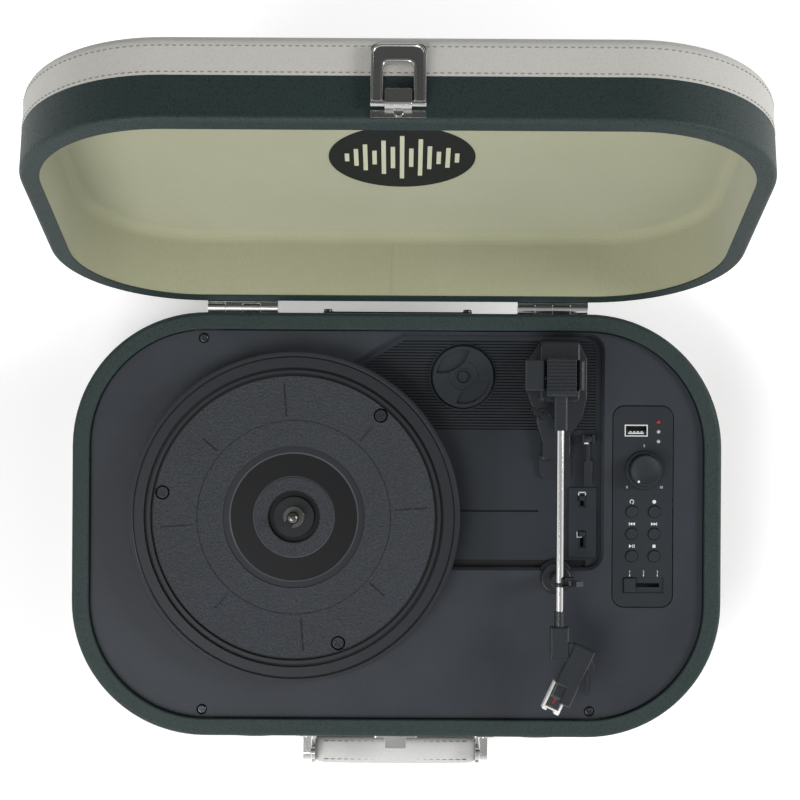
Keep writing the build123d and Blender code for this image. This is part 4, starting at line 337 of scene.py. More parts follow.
# ================================================================ feet
# Moulded rubber, screwed on through their hollow.
def moulded(name, colour, lighter, roughness=0.5, grain=0.0006, depth=0.00004, edge=0.0003, shine=0.3,
            sunk=-1.0, **fixed):
    """Moulded plastic or rubber: spark-eroded grain, faint cloudiness and softened edges. What lies lower
    than the sunk height is painted near black: painted shade in its grooves. The fixed values go straight
    onto the shader."""
    material, tree, shader = start_material(name)
    place = add(tree, "TexCoord").outputs["Object"]
    fine = add(tree, "TexNoise", {"Vector": place, "Scale": 1 / grain, "Detail": 2.0, "Roughness": 0.7})
    cloud = add(tree, "TexNoise", {"Vector": place, "Scale": 24.0, "Detail": 4.0})
    speck = add(tree, "Math", {0: fine.outputs["Fac"], 1: 0.7, 2: -0.35}, operation="MULTIPLY_ADD")
    share = add(tree, "Math", {0: cloud.outputs["Fac"], 1: speck.outputs[0]}, operation="ADD")
    share.use_clamp = True
    mixed = add(tree, "Mix", {0: share.outputs[0], "A": colour, "B": lighter}, data_type="RGBA")
    parts = add(tree, "SeparateXYZ", {"Vector": place})
    # Painted shade: below the sunk height the colour turns near black.
    painted_groove_shade = add(tree, "Math", {0: parts.outputs["Z"], 1: sunk}, operation="LESS_THAN")
    mixed = add(tree, "Mix", {0: painted_groove_shade.outputs[0], "A": mixed.outputs["Result"], "B": paint(9, 10, 12)},
                data_type="RGBA")
    round_edge = add(tree, "Bevel", {"Radius": edge}, samples=4)
    bump = add(tree, "Bump", {"Strength": 0.8, "Distance": depth, "Height": fine.outputs["Fac"],
                              "Normal": round_edge.outputs[0]})
    gloss = add(tree, "MapRange", {"Value": share.outputs[0], 3: roughness - 0.05, 4: roughness + 0.08})
    tree.links.new(mixed.outputs["Result"], shader.inputs["Base Color"])
    tree.links.new(gloss.outputs[0], shader.inputs["Roughness"])
    tree.links.new(bump.outputs[0], shader.inputs["Normal"])
    shader.inputs["Specular IOR Level"].default_value = shine
    for key, value in fixed.items():
        shader.inputs[key.replace("_", " ")].default_value = value
    return material


dress("feet", moulded("foot_rubber", paint(30, 31, 32), paint(44, 45, 46), roughness=0.75, grain=0.0009))


# ================================================================ deck and mechanism plate
# Two charcoal mouldings: the deck with a fine leather-like grain, and the plate sunk in it.
deck_finish = moulded("deck_plastic", paint(33, 37, 44), paint(51, 55, 61), roughness=0.47, grain=0.0009,
                      depth=0.00010, edge=0.0005)
# Below the sunk height the plate's rib grooves are painted near black: painted shade.
plate_finish = moulded("plate_plastic", paint(25, 30, 36), paint(38, 43, 49), roughness=0.5, grain=0.0005,
                       sunk=0.0652)
dress("deck_plate", deck_finish)
dress("mech_plate", plate_finish)


def bare_metal(name, colour, roughness, scratch=0.06, lean=(1.0, 1.0, 1.0), edge=0.0002):
    """Metal or plating: fine rubbed lines change its gloss, and its edges are softened."""
    material, tree, shader = start_material(name)
    place = add(tree, "Mapping", {"Vector": add(tree, "TexCoord").outputs["Object"], "Scale": lean})
    rub = add(tree, "TexNoise", {"Vector": place.outputs[0], "Scale": 700.0, "Detail": 3.0})
    gloss = add(tree, "MapRange", {"Value": rub.outputs["Fac"], 3: max(roughness - scratch, 0.03),
                                   4: roughness + scratch})
    stain = add(tree, "TexNoise", {"Vector": place.outputs[0], "Scale": 45.0, "Detail": 4.0})
    dull = tuple(value * 0.8 for value in colour[:3]) + (1.0,)
    mixed = add(tree, "Mix", {0: stain.outputs["Fac"], "A": dull, "B": colour}, data_type="RGBA")
    round_edge = add(tree, "Bevel", {"Radius": edge}, samples=4)
    tree.links.new(mixed.outputs["Result"], shader.inputs["Base Color"])
    tree.links.new(gloss.outputs[0], shader.inputs["Roughness"])
    tree.links.new(round_edge.outputs[0], shader.inputs["Normal"])
    shader.inputs["Metallic"].default_value = 1.0
    return material


dress("case_screws", bare_metal("black_screw", paint(76, 78, 81), 0.24))


# ================================================================ platter and drive
# Moulded platter with a grained disc, smooth rings at its edge and a label recess. It turns on the
# steel pin; the ring screwed under it is driven by a flat rubber belt from the motor's brass pulley.
spin = joints["platter_spin"]["pos_m"]


def platter_plastic(name, bands, grained):
    """Charcoal plastic in rings about the spindle: bands gives (radius, colour) for each change of tone,
    outwards; leather-like grain lies only between the pairs of radii in grained."""
    material, tree, shader = start_material(name)
    place = add(tree, "TexCoord").outputs["Object"]
    flat = add(tree, "VectorMath", {0: place, 1: (1, 1, 0)}, operation="MULTIPLY")
    away = add(tree, "VectorMath", {0: flat.outputs[0], 1: (spin[0], spin[1], 0)}, operation="DISTANCE")
    masks = []
    for inner, outer in grained:
        inside = add(tree, "Math", {0: away.outputs["Value"], 1: outer}, operation="LESS_THAN")
        beyond = add(tree, "Math", {0: away.outputs["Value"], 1: inner}, operation="GREATER_THAN")
        masks.append(add(tree, "Math", {0: inside.outputs[0], 1: beyond.outputs[0]}, operation="MULTIPLY"))
    mask = add(tree, "Math", {0: masks[0].outputs[0], 1: masks[1].outputs[0]}, operation="ADD")
    cells = add(tree, "TexVoronoi", {"Vector": place, "Scale": 820.0}, feature="SMOOTH_F1")
    fine = add(tree, "TexNoise", {"Vector": place, "Scale": 1500.0, "Detail": 3.0})
    rough = add(tree, "Math", {0: cells.outputs["Distance"], 1: fine.outputs["Fac"]}, operation="ADD")
    lifted = add(tree, "Math", {0: rough.outputs[0], 1: mask.outputs[0]}, operation="MULTIPLY")
    height = add(tree, "Math", {0: fine.outputs["Fac"], 1: 0.12, 2: lifted.outputs[0]},
                 operation="MULTIPLY_ADD")
    round_edge = add(tree, "Bevel", {"Radius": 0.0003}, samples=4)
    bump = add(tree, "Bump", {"Strength": 1.0, "Distance": 0.0004, "Height": height.outputs[0],
                              "Normal": round_edge.outputs[0]})
    span = bands[-1][0]
    share = add(tree, "Math", {0: away.outputs["Value"], 1: span}, operation="DIVIDE")
    ramp = add(tree, "ValToRGB", {"Fac": share.outputs[0]})
    ramp.color_ramp.interpolation = "CONSTANT"
    for radius, colour in bands[1:-1]:
        ramp.color_ramp.elements.new(radius / span).color = colour
    ramp.color_ramp.elements[0].color = bands[0][1]
    ramp.color_ramp.elements[-1].color = bands[-1][1]
    speck = add(tree, "MapRange", {"Value": lifted.outputs[0], 1: 0.25, 2: 1.2, 3: 0.55, 4: 1.55})
    cloud = add(tree, "TexNoise", {"Vector": place, "Scale": 18.0, "Detail": 5.0})
    drift = add(tree, "MapRange", {"Value": cloud.outputs["Fac"], 3: 0.85, 4: 1.15})
    factor = add(tree, "Math", {0: speck.outputs[0], 1: drift.outputs[0]}, operation="MULTIPLY")
    tone = add(tree, "VectorMath", {0: ramp.outputs["Color"], "Scale": factor.outputs[0]}, operation="SCALE")
    gloss = add(tree, "MapRange", {"Value": mask.outputs[0], 3: 0.36, 4: 0.5})
    tree.links.new(tone.outputs[0], shader.inputs["Base Color"])
    tree.links.new(gloss.outputs[0], shader.inputs["Roughness"])
    tree.links.new(bump.outputs[0], shader.inputs["Normal"])
    shader.inputs["Specular IOR Level"].default_value = 0.28
    return material


# The near-black label tone is a painted dark reflection on the smooth label floor, and painted shade in the
# narrow band at its outer step.
mat_tone, dark_reflection_and_shade_tone, rim_tone = paint(39, 42, 47), paint(13, 15, 19), paint(48, 51, 57)
# The near-black rings at the platter's groove radii are painted shade.
groove_shade_tone, edge_highlight_tone = paint(8, 9, 11), paint(92, 95, 99)
# The two thin pale rings at the label recess's step edges are painted highlights.
platter_bands = [(0.0, mat_tone), (0.0112, groove_shade_tone), (0.0150, mat_tone), (0.0233, edge_highlight_tone),
                 (0.0236, dark_reflection_and_shade_tone),
                 (0.0373, edge_highlight_tone), (0.0377, rim_tone), (0.0415, dark_reflection_and_shade_tone), (0.0421, mat_tone),
                 (0.0838, groove_shade_tone), (0.0845, rim_tone), (0.0872, groove_shade_tone), (0.0882, rim_tone),
                 (0.0945, groove_shade_tone), (0.0953, rim_tone), (0.2, rim_tone)]
dress("platter", platter_plastic("platter_plastic", platter_bands, [(0.0150, 0.0233), (0.0421, 0.0834)]))
dress("drive_ring", moulded("ring_plastic", paint(36, 37, 39), paint(48, 49, 51)))
dress("platter_screws", bare_metal("dark_screw", paint(60, 62, 66), 0.42))
dress("spindle", bare_metal("pin_steel", paint(112, 112, 110), 0.24))
dress("motor", bare_metal("zinc_can", paint(168, 170, 170), 0.36))
dress("motor_pulley", bare_metal("brass", paint(206, 172, 98), 0.26))
dress("belt", moulded("belt_rubber", paint(24, 24, 25), paint(34, 34, 35), roughness=0.62, grain=0.0004))


# ================================================================ adapter for large-hole records
# A loose moulded disc in its own seat, with two finger scoops.
dress("adapter_45", moulded("adapter_plastic", paint(26, 31, 36), paint(40, 45, 51), roughness=0.4,
                            grain=0.0007, edge=0.0004))


# ================================================================ tonearm
# Glossy moulded housing, fork, ribbed block and head; a thin bright tube between them; a pale guard
# pushed on over the red stylus; and a curved bar that lifts the arm.
arm_gloss = moulded("arm_plastic", paint(27, 31, 36), paint(36, 40, 45), roughness=0.24, grain=0.0012,
                    depth=0.00003, edge=0.0005, shine=0.5)
for node in ("arm_base", "arm_yoke", "arm_block", "headshell", "arm_rest", "arm_clip", "cartridge"):
    dress(node, arm_gloss)
chrome = bare_metal("bright_tube", paint(232, 232, 230), 0.10, scratch=0.04, lean=(8.0, 0.4, 8.0))
dress("arm_tube", chrome)
dress("lift_bar", bare_metal("lift_steel", paint(66, 68, 71), 0.22))
dress("stylus", moulded("stylus_red", paint(176, 34, 34), paint(204, 52, 48), roughness=0.35))
dress("stylus_guard", moulded("guard_white", paint(226, 226, 222), paint(240, 240, 236), roughness=0.4,
                              Subsurface_Weight=0.08))

tube_low, tube_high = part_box("arm_tube")
tube_x = (tube_low.x + tube_high.x) / 2
tube_z = (tube_low.z + tube_high.z) / 2
tube_radius = (tube_high.x - tube_low.x) / 2


def turned_along_y(profile, x, z, segments=48):
    """A profile of (y, radius) pairs turned about a line along Y; its ends are closed."""
    angles = np.arange(segments) * 2 * math.pi / segments
    y, radius = np.array(profile).T
    ring = np.stack([np.cos(angles), np.zeros(segments), np.sin(angles)], 1)
    middles = np.stack([np.full(len(y), x), y, np.full(len(y), z)], 1)
    places = ring[None] * radius[:, None, None] + middles[:, None]
    return places, capped(len(y), segments)


# A thin dark sleeve where the tube lies in its rest; it stays inside the rest's 0.35 mm clearance.
band_y = case_y - 0.0329
sleeve_rise = 0.00028
band = [(band_y - 0.0013, tube_radius), (band_y - 0.0011, tube_radius + sleeve_rise * 0.7),
        (band_y - 0.0008, tube_radius + sleeve_rise), (band_y + 0.0008, tube_radius + sleeve_rise),
        (band_y + 0.0011, tube_radius + sleeve_rise * 0.7), (band_y + 0.0013, tube_radius)]
places, faces = turned_along_y(band, tube_x, tube_z)
put_piece("tube_band", places, faces, arm_gloss, "arm_lift")


# ================================================================ cueing lever and small switches
# A moulded lever, and two little sliding knobs on a raised plate, with printed corner marks.
dress("cue_lever", arm_gloss)
knob_finish = moulded("knob_plastic", paint(26, 31, 36), paint(36, 41, 46), roughness=0.5, grain=0.0008)
dress("speed_knob", knob_finish)
dress("autostop_knob", knob_finish)
dress("switch_bodies", knob_finish)

ink, tree, shader = start_material("white_ink")
speck = add(tree, "TexNoise", {"Vector": add(tree, "TexCoord").outputs["Object"], "Scale": 3000.0})
tone = add(tree, "Mix", {0: speck.outputs["Fac"], "A": paint(196, 198, 200), "B": paint(232, 233, 234)},
           data_type="RGBA")
tree.links.new(tone.outputs["Result"], shader.inputs["Base Color"])
shader.inputs["Roughness"].default_value = 0.6
ink_height = 0.00004


def bar(x, y, width, length, turn=0.0):
    """Outline of a printed bar, turned about its middle by so many degrees."""
    angle = math.radians(turn)
    corners = np.array([[-1, -1], [1, -1], [1, 1], [-1, 1]]) * [width / 2, length / 2]
    spin_matrix = np.array([[math.cos(angle), math.sin(angle)], [-math.sin(angle), math.cos(angle)]])
    return corners @ spin_matrix + [x, y]


def dot(x, y, radius, sides=20):
    """Outline of a printed dot; three sides make an arrow head."""
    angles = np.arange(sides) * 2 * math.pi / sides
    return np.stack([x + radius * np.cos(angles), y + radius * np.sin(angles)], 1)


def arc_band(x, y, radius, width, start, end, steps=24):
    """Outline of a part of a printed ring, from one angle to another in degrees."""
    angles = np.radians(np.linspace(start, end, steps))
    ray = np.stack([np.cos(angles), np.sin(angles)], 1)
    return np.vstack([ray * (radius + width / 2), ray[::-1] * (radius - width / 2)]) + [x, y]


def printed(name, outlines, z, body, material=ink):
    """Flat prints a hair thick standing on a surface: each outline is drawn up by the ink's height."""
    places = []
    faces = []
    for outline in outlines:
        first = sum(len(part) for part in places)
        count = len(outline)
        low = np.column_stack([outline, np.full(count, z - ink_height)])
        high = np.column_stack([outline, np.full(count, z + ink_height)])
        places.append(np.vstack([low, high]))
        ring = np.arange(count)
        after = (ring + 1) % count
        sides = np.stack([first + ring, first + after, first + count + after, first + count + ring], 1)
        faces += sides.tolist() + [list(range(first, first + count)),
                                   list(range(first + count, first + 2 * count))]
    return put_piece(name, np.vstack(places), faces, material, body, crisp=20)


stop_low, stop_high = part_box("autostop_knob")
speed_low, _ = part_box("speed_knob")
lever_low, lever_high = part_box("cue_lever")
switch_top = 0.066 + 0.0012
line = 0.0006
stop_x = (stop_low.x + stop_high.x) / 2
marks = [bar(stop_x, stop_high.y + 0.0018, 0.0040, line),
         bar(stop_x - 0.0020, stop_high.y + 0.0009, line, 0.0022),
         bar(stop_x + 0.0020, stop_high.y + 0.0009, line, 0.0022),
         bar(stop_x - 0.0029, speed_low.y + 0.0014, line, 0.0030),
         bar(stop_x - 0.0016, speed_low.y - 0.0002, 0.0032, line)]
printed("switch_marks", marks, switch_top, "base")
lever_x = (lever_low.x + lever_high.x) / 2
lever_bar = bar(lever_x - 0.0011, lever_high.y - 0.0052, 0.0026, 0.0009)
printed("lever_mark", [lever_bar], lever_high.z - 0.0014, "cue_lever")


# ================================================================ control panel
# A drop-in moulded panel: socket, three lamps, volume knob, six buttons and a sliding switch,
# with plain white marks printed beside them.
panel_finish = moulded("panel_plastic", paint(31, 35, 40), paint(40, 44, 49), roughness=0.4, grain=0.0006)
dress("control_panel", panel_finish)
dress("mode_slider", knob_finish)
for i in range(6):
    dress(f"button_{i + 1}", knob_finish)
board_green, tree, shader = start_material("board_green")
trace = add(tree, "TexVoronoi", {"Vector": add(tree, "TexCoord").outputs["Object"], "Scale": 260.0},
            distance="MANHATTAN")
lacquer = add(tree, "Mix", {0: trace.outputs["Distance"], "A": paint(24, 70, 46), "B": paint(52, 112, 74)},
              data_type="RGBA")
tree.links.new(lacquer.outputs["Result"], shader.inputs["Base Color"])
shader.inputs["Roughness"].default_value = 0.35
dress("control_board", board_green)
dress("main_board", board_green)

_, panel_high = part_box("control_panel")
panel_z = panel_high.z
knob_low, knob_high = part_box("volume_knob")
knob_x, knob_y = (knob_low.x + knob_high.x) / 2, (knob_low.y + knob_high.y) / 2
scale_radius = 0.0145
marks = []
button_middles = []
for i in range(6):
    low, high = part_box(f"button_{i + 1}")
    button_middles.append(((low.x + high.x) / 2, (low.y + high.y) / 2))
icon_rise = 0.0059
x, y = button_middles[0]
marks += [arc_band(x, y + icon_rise, 0.0011, 0.0004, -60, 240),
          dot(x + 0.0006, y + icon_rise - 0.0010, 0.0006, 3)]
x, y = button_middles[1]
marks += [dot(x, y + icon_rise, 0.0011)]
x, y = button_middles[2]
marks += [bar(x - 0.0015, y + icon_rise, 0.0004, 0.0020),
          -1 * (dot(0, 0, 0.0011, 3)) + [x - 0.0003, y + icon_rise],
          -1 * (dot(0, 0, 0.0011, 3)) + [x + 0.0013, y + icon_rise]]
x, y = button_middles[3]
marks += [bar(x + 0.0015, y + icon_rise, 0.0004, 0.0020), dot(x + 0.0003, y + icon_rise, 0.0011, 3),
          dot(x - 0.0013, y + icon_rise, 0.0011, 3)]
x, y = button_middles[4]
marks += [dot(x - 0.0010, y + icon_rise, 0.0012, 3), bar(x + 0.0007, y + icon_rise, 0.0004, 0.0020),
          bar(x + 0.0016, y + icon_rise, 0.0004, 0.0020)]
x, y = button_middles[5]
marks += [bar(x, y + icon_rise, 0.0018, 0.0018)]
mode_low, mode_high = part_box("mode_slider")
for i in range(3):
    marks.append(bar(mode_low.x + 0.0036 + 0.0083 * i, mode_high.y + 0.0016, 0.0004, 0.0014))
printed("panel_marks", marks, panel_z, "base")


def numerals(name, labels, size, z, body):
    """Printed numbers: each (text, x, y) is set as flat letters a hair thick, centred on its place."""
    gathered = bmesh.new()
    for text, x, y in labels:
        curve = bpy.data.curves.new(name, "FONT")
        curve.body = text
        curve.size = size
        curve.extrude = ink_height
        curve.align_x = "CENTER"
        curve.align_y = "CENTER"
        item = bpy.data.objects.new(name, curve)
        flat = bpy.data.meshes.new_from_object(item)
        flat.transform(Matrix.Translation((x, y, z)))
        gathered.from_mesh(flat)
        bpy.data.objects.remove(item)
        bpy.data.meshes.remove(flat)
    bmesh.ops.remove_doubles(gathered, verts=gathered.verts, dist=0.000001)
    mesh = bpy.data.meshes.new(name)
    gathered.to_mesh(mesh)
    gathered.free()
    mesh.materials.append(ink)
    piece = bpy.data.objects.new(name, mesh)
    bpy.context.scene.collection.objects.link(piece)
    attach(piece, body)


labels = []
for i in (0, 5, 10):
    angle = math.radians(225 - 27 * i)
    labels.append((str(i), knob_x + scale_radius * math.cos(angle), knob_y + scale_radius * math.sin(angle)))
for i in range(3):
    labels.append((str(i + 1), mode_low.x + 0.0036 + 0.0083 * i, mode_high.y + 0.0036))
numerals("panel_numbers", labels, 0.0021, panel_z, "base")


# ================================================================ volume knob
# Turned-looking moulded knob with fine flutes round its side, a wide skirt and a white dot.
def fluted_knob(x, y, z, steps, flutes=36, segments=288):
    """A profile of (radius, height, flute) turned about a standing line; the flute value says how much
    the radius goes in and out round the knob."""
    angles = np.arange(segments) * 2 * math.pi / segments
    radius, height, flute = np.array(steps).T
    wave = 0.5 + 0.5 * np.cos(angles * flutes)
    reach = radius[:, None] - flute[:, None] * wave[None]
    places = np.stack([x + reach * np.cos(angles), y + reach * np.sin(angles),
                       np.broadcast_to(z + height[:, None], reach.shape)], 2)
    return places, capped(len(steps), segments)


skirt_z = panel_z + 0.0004
knob_steps = [(0.0030, 0.0000, 0), (0.01155, 0.0000, 0), (0.01175, 0.0002, 0), (0.01175, 0.0009, 0),
              (0.0112, 0.0016, 0), (0.0101, 0.0016, 0), (0.0099, 0.0019, 0.0002), (0.0098, 0.0024, 0.0003),
              (0.0096, 0.0078, 0.0003), (0.0093, 0.0086, 0.0001), (0.0088, 0.0090, 0), (0.0080, 0.0090, 0),
              (0.0077, 0.0088, 0), (0.0020, 0.0088, 0), (0.0005, 0.0088, 0)]
places, faces = fluted_knob(knob_x, knob_y, skirt_z, knob_steps)
knob_piece = put_piece("volume_knob_fluted", places, faces, knob_finish, "volume_knob")
dress("volume_knob", knob_finish)
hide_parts("volume_knob")
dot_angle = math.radians(237)
dot_reach = 0.0078
dot_x, dot_y = knob_x + dot_reach * math.cos(dot_angle), knob_y + dot_reach * math.sin(dot_angle)
printed("volume_dot", [dot(dot_x, dot_y, 0.0007)],
        skirt_z + 0.0090, "volume_knob")


# ================================================================ lamps and socket
# Three little lens lamps, the first one red, and a folded steel socket with its pale tongue.
def two_tone(name, first, second, axis, edge, roughness):
    """One node in two colours: the second is used past a place along one axis."""
    material, tree, shader = start_material(name)
    place = add(tree, "TexCoord").outputs["Object"]
    parts = add(tree, "SeparateXYZ", {"Vector": place})
    past = add(tree, "Math", {0: parts.outputs[axis], 1: edge}, operation="GREATER_THAN")
    haze = add(tree, "TexNoise", {"Vector": place, "Scale": 500.0})
    tone = add(tree, "Mix", {0: past.outputs[0], "A": first, "B": second}, data_type="RGBA")
    shade = add(tree, "MapRange", {"Value": haze.outputs["Fac"], 3: roughness - 0.04, 4: roughness + 0.04})
    tree.links.new(tone.outputs["Result"], shader.inputs["Base Color"])
    tree.links.new(shade.outputs[0], shader.inputs["Roughness"])
    return material


_, lamp_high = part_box("leds")
dress("leds", two_tone("lamp_lens", paint(176, 176, 172), paint(176, 30, 28), "Y",
                       lamp_high.y - 0.0040, 0.16))
socket_low, socket_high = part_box("usb_socket")
dress("usb_socket", two_tone("socket_shell", paint(34, 36, 38), paint(206, 208, 210), "Z",
                             socket_high.z - 0.0007, 0.3))
contact_y = socket_low.y + 0.0023
contacts = [bar(socket_low.x + 0.0037 + 0.0022 * i, contact_y + 0.0005, 0.0011, 0.0006) for i in range(4)]
contacts.append(bar((socket_low.x + socket_high.x) / 2, contact_y - 0.0004, 0.0096, 0.0008))
printed("socket_contacts", contacts, socket_high.z - 0.0013, "base")


# ================================================================ back sockets and speakers
# A moulded plate over a window in the back wall, and two drivers behind slotted discs in front.
dress("rear_plate", moulded("rear_plastic", paint(30, 32, 34), paint(42, 44, 46), roughness=0.45))
dress("rear_jacks", bare_metal("socket_nickel", paint(196, 196, 192), 0.26))
dress("speakers", moulded("speaker_card", paint(26, 26, 27), paint(40, 40, 41), roughness=0.8, grain=0.0010))
dress("speaker_grilles", moulded("grille_plastic", paint(32, 35, 38), paint(44, 47, 50), roughness=0.45))


# ================================================================ lid
# Bent ply ring and board in the same green, pale binding sewn round its top edge with two rows of
# thread, and a khaki cloth lining pasted inside. It stands turned back on its hinges.
hinge = joints["lid_hinge"]["pos_m"]
lid_angle = math.radians(max(abs(value) for value in joints["lid_hinge"]["range_deg"]))


def lid_place(places):
    """Turns places drawn on the closed lid back about the hinge line to where the open lid stands."""
    y, z = places[..., 1] - hinge[1], places[..., 2] - hinge[2]
    back = hinge[1] + y * math.cos(lid_angle) + z * math.sin(lid_angle)
    up = hinge[2] - y * math.sin(lid_angle) + z * math.cos(lid_angle)
    return np.stack([places[..., 0], back, up], -1)


def lid_turn(directions):
    """The same turn for directions."""
    y, z = directions[..., 1], directions[..., 2]
    return np.stack([directions[..., 0], y * math.cos(lid_angle) + z * math.sin(lid_angle),
                     -y * math.sin(lid_angle) + z * math.cos(lid_angle)], -1)


lid_rim_z = rim_z + 0.0004
lid_height = 0.0462
lid_top_z = lid_rim_z + lid_height
lid_split_z = lid_rim_z + 0.0224
lid_ceiling_z = lid_top_z - 0.0060
dress("lid_cover", green)
dress("lid_binding", pale)
for name, height in (("lid_stitches_low", lid_split_z + 0.0030), ("lid_stitches_high", lid_top_z - 0.0068)):
    closed = np.column_stack([row[:, 0], row[:, 1] + case_y, np.full(len(row), height)])
    stitch_row(name, lid_place(closed), lid_turn(along3), lid_turn(out3), thread, "lid")


def lining_cloth(name, light, dark, pitch=0.0007):
    """Fine plain-weave cloth: threads cross as sine waves along the closed lid's three directions."""
    material, tree, shader = start_material(name)
    place = add(tree, "Mapping", {"Vector": add(tree, "TexCoord").outputs["Object"],
                                  "Rotation": (lid_angle, 0, 0)})
    step = 2 * math.pi / pitch
    scaled = add(tree, "VectorMath", {0: place.outputs[0], 1: (step, step, step)}, operation="MULTIPLY")
    waves = add(tree, "VectorMath", {0: scaled.outputs[0]}, operation="SINE")
    parts = add(tree, "SeparateXYZ", {"Vector": waves.outputs[0]})
    xy = add(tree, "Math", {0: parts.outputs["X"], 1: parts.outputs["Y"]}, operation="MULTIPLY")
    xyz = add(tree, "Math", {0: xy.outputs[0], 1: parts.outputs["Z"]}, operation="ADD")
    slub = add(tree, "TexNoise", {"Vector": place.outputs[0], "Scale": 900.0, "Detail": 3.0})
    height = add(tree, "Math", {0: xyz.outputs[0], 1: slub.outputs["Fac"]}, operation="ADD")
    bump = add(tree, "Bump", {"Strength": 0.5, "Distance": 0.0001, "Height": height.outputs[0]})
    fade = add(tree, "TexNoise", {"Vector": place.outputs[0], "Scale": 14.0, "Detail": 5.0})
    share = add(tree, "Math", {0: slub.outputs["Fac"], 1: fade.outputs["Fac"]}, operation="MULTIPLY_ADD")
    share.inputs[2].default_value = 0.15
    share.use_clamp = True
    mixed = add(tree, "Mix", {0: share.outputs[0], "A": dark, "B": light}, data_type="RGBA")
    tree.links.new(mixed.outputs["Result"], shader.inputs["Base Color"])
    tree.links.new(bump.outputs[0], shader.inputs["Normal"])
    shader.inputs["Roughness"].default_value = 0.9
    shader.inputs["Sheen Weight"].default_value = 0.25
    return material


dress("lid_lining", lining_cloth("lining_cloth", paint(176, 177, 151), paint(150, 151, 122)))

# ---------------------------------------------------------------- emblem inside the lid
# A thin round card glued to the ceiling of the lid, printed with a row of pale sound bars.
emblem_x, emblem_y, emblem_radius = 0.002, case_y + 0.005, 0.040
card, tree, shader = start_material("card_black")
fibre = add(tree, "TexNoise", {"Vector": add(tree, "TexCoord").outputs["Object"], "Scale": 800.0,
                               "Detail": 3.0})
tone = add(tree, "Mix", {0: fibre.outputs["Fac"], "A": paint(6, 11, 12), "B": paint(13, 19, 19)},
           data_type="RGBA")
tree.links.new(tone.outputs["Result"], shader.inputs["Base Color"])
shader.inputs["Roughness"].default_value = 0.55


def on_ceiling(outlines, depth):
    """Closed prisms under the lid's ceiling, so deep, from flat outlines; gives places and faces."""
    places = []
    faces = []
    for outline in outlines:
        first = sum(len(part) for part in places)
        count = len(outline)
        high = np.column_stack([outline, np.full(count, lid_ceiling_z + 0.0001)])
        low = np.column_stack([outline, np.full(count, lid_ceiling_z - depth)])
        places.append(np.vstack([high, low]))
        ring = np.arange(count)
        after = (ring + 1) % count
        faces += np.stack([first + ring, first + after, first + count + after, first + count + ring],
                          1).tolist()
        faces += [list(range(first, first + count)), list(range(first + count, first + 2 * count))]
    return lid_place(np.vstack(places)), faces


places, faces = on_ceiling([dot(emblem_x, emblem_y, emblem_radius, 96)], 0.0003)
put_piece("emblem_card", places, faces, card, "lid", crisp=30)
cream, tree, shader = start_material("cream_ink")
fleck = add(tree, "TexNoise", {"Vector": add(tree, "TexCoord").outputs["Object"], "Scale": 2500.0})
tone = add(tree, "Mix", {0: fleck.outputs["Fac"], "A": paint(178, 180, 152), "B": paint(206, 207, 182)},
           data_type="RGBA")
tree.links.new(tone.outputs["Result"], shader.inputs["Base Color"])
shader.inputs["Roughness"].default_value = 0.7
bar_heights = (0.010, 0.022, 0.034, 0.018, 0.044, 0.028, 0.056, 0.024, 0.048, 0.030, 0.016, 0.026, 0.012)
bar_pitch = 0.0050
outlines = [bar(emblem_x + (i - 6) * bar_pitch, emblem_y, 0.0024, tall) for i, tall in enumerate(bar_heights)]
places, faces = on_ceiling(outlines, 0.0004)
put_piece("emblem_print", places, faces, cream, "lid", crisp=30)

# ---------------------------------------------------------------- seam of the lining
# The cloth's two ends meet in one lapped seam on the hinge side.
seam_x = -0.0036
lap = np.array([[-0.0006, 0.0001], [-0.0004, -0.00025], [0.0, -0.00035], [0.0004, -0.00025],
                [0.0006, 0.0001]])
seam_wall = case_y + half_depth - 0.0103
heights = np.linspace(lid_rim_z + 0.0010, lid_ceiling_z - 0.0070, 12)
seam = np.stack([np.broadcast_to(seam_x + lap[:, 0], (12, 5)),
                 np.broadcast_to(seam_wall + lap[:, 1], (12, 5)),
                 np.broadcast_to(heights[:, None], (12, 5))], 2)
put_piece("lining_seam", lid_place(seam), capped(12, 5), nodes["lid_lining"].data.materials[0], "lid")


# ================================================================ hinges and latch
# Nickel-plated steel: rolled knuckles on a steel pin, riveted leaves, a swinging hasp and its hook.
nickel = bare_metal("nickel", paint(214, 214, 212), 0.17, scratch=0.07)
for node in ("hinge_base_leaves", "hinge_lid_leaves", "latch_plate", "latch_hasp", "latch_keeper"):
    dress(node, nickel)


def bead_arch(half, low, high, corner, face_y, radius, steps=10, sides=12):
    """A half-sunk bead pressed up one side, over two round corners and down the other side, on the
    closed lid's front: a circle carried along that line."""
    turn = np.linspace(0, math.pi / 2, steps)
    angles = np.concatenate([turn, turn + math.pi / 2])
    out = np.stack([np.cos(angles), np.sin(angles)], 1)
    middles = np.repeat([[half - corner, high - corner], [corner - half, high - corner]], steps, axis=0)
    line = np.vstack([[half, low], middles + out * corner, [-half, low]])
    out = np.vstack([[1, 0], out, [-1, 0]])
    ring = np.arange(sides) * 2 * math.pi / sides
    reach_out = line[:, None, :] + out[:, None, :] * np.cos(ring)[None, :, None] * radius
    depth = np.broadcast_to(face_y - np.sin(ring)[None] * radius, reach_out.shape[:2])
    return np.stack([reach_out[..., 0], depth, reach_out[..., 1]], 2)


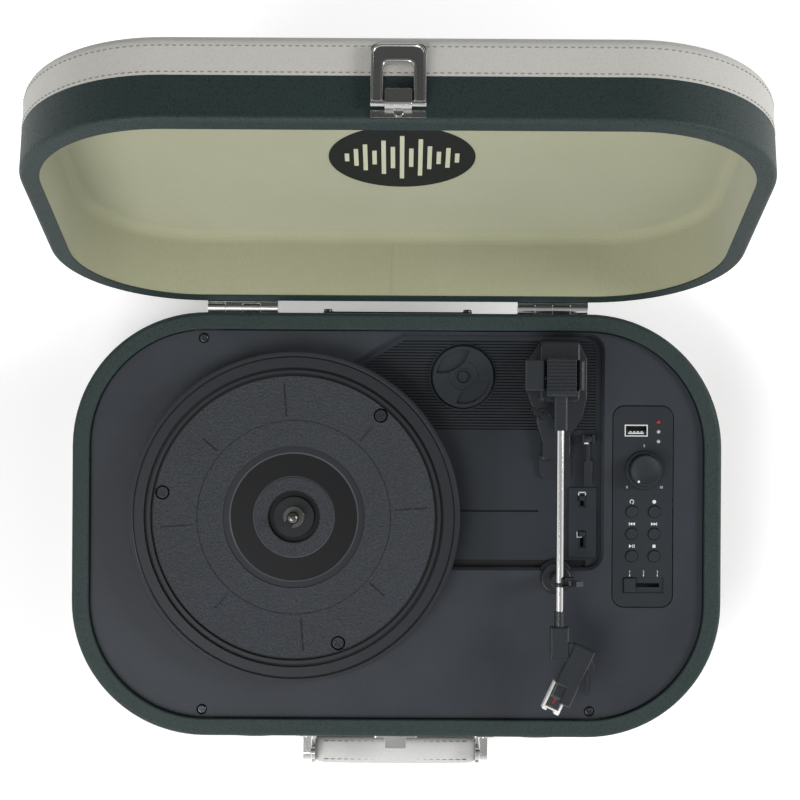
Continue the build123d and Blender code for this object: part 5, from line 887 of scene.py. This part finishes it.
hasp_z = lid_rim_z + 0.0076
hasp_face = case_y - half_depth - 0.0033 - 0.0011
for name, half, low, high, corner in (("hasp_outer_bead", 0.01265, 0.0012, 0.0303, 0.0048),
                                      ("hasp_window_bead", 0.0080, 0.0010, 0.0223, 0.0036)):
    bead = bead_arch(half, hasp_z + low, hasp_z + high, corner, hasp_face, 0.0007)
    put_piece(name, lid_place(bead), capped(*bead.shape[:2]), nickel, "hasp", crisp=80)


# ================================================================ handle
# A pale leatherette strap over a foam core, sewn along its edges and held by two nickel links.
for node in ("handle_links", "handle_posts"):
    dress(node, nickel)
grip_low, grip_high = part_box("handle_grip")


def strap(low, high, rows=64, columns=40):
    """A padded strap along X: a rounded-box section whose height and depth swell a little towards
    the middle and pull in over the last centimetre at each end."""
    along = np.linspace(-1, 1, rows)
    angles = np.arange(columns) * 2 * math.pi / columns
    middle = (np.array(low) + np.array(high)) / 2
    size = (np.array(high) - np.array(low)) / 2
    swell = 0.955 + 0.045 * np.cos(along * math.pi / 2)
    pull = 1 - 0.16 * np.abs(along) ** 24
    section = [np.abs(wave) ** 0.5 * np.sign(wave) for wave in (np.cos(angles), np.sin(angles))]
    y = middle[1] + size[1] * (swell * pull)[:, None] * section[0][None]
    z = middle[2] + size[2] * (swell * pull)[:, None] * section[1][None]
    x = np.broadcast_to(middle[0] + size[0] * along[:, None], y.shape)
    return np.stack([x, y, z], 2), capped(rows, columns)


strap_skin = leatherette("strap_leatherette", paint(204, 204, 202), paint(190, 190, 187), cell=0.0008,
                         depth=0.00003)
places, faces = strap(grip_low, grip_high)
grip = put_piece("handle_strap", places, faces, strap_skin, "handle", crisp=60)
dress("handle_grip", strap_skin)
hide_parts("handle_grip")
grip_length = grip_high.x - grip_low.x
count = int((grip_length - 0.008) / 0.0040)
x = (np.arange(count) - (count - 1) / 2) * 0.0040
for name, y in (("strap_stitches_front", grip_low.y + 0.0035), ("strap_stitches_back", grip_high.y - 0.0035)):
    middles = np.stack([x, np.full(count, y), np.full(count, grip_high.z - 0.0009)], 1)
    along = np.tile([1.0, 0.0, 0.0], (count, 1))
    out = np.tile([0.0, 0.0, 1.0], (count, 1))
    stitch_row(name, middles, along, out, thread, "handle", length=0.0028)
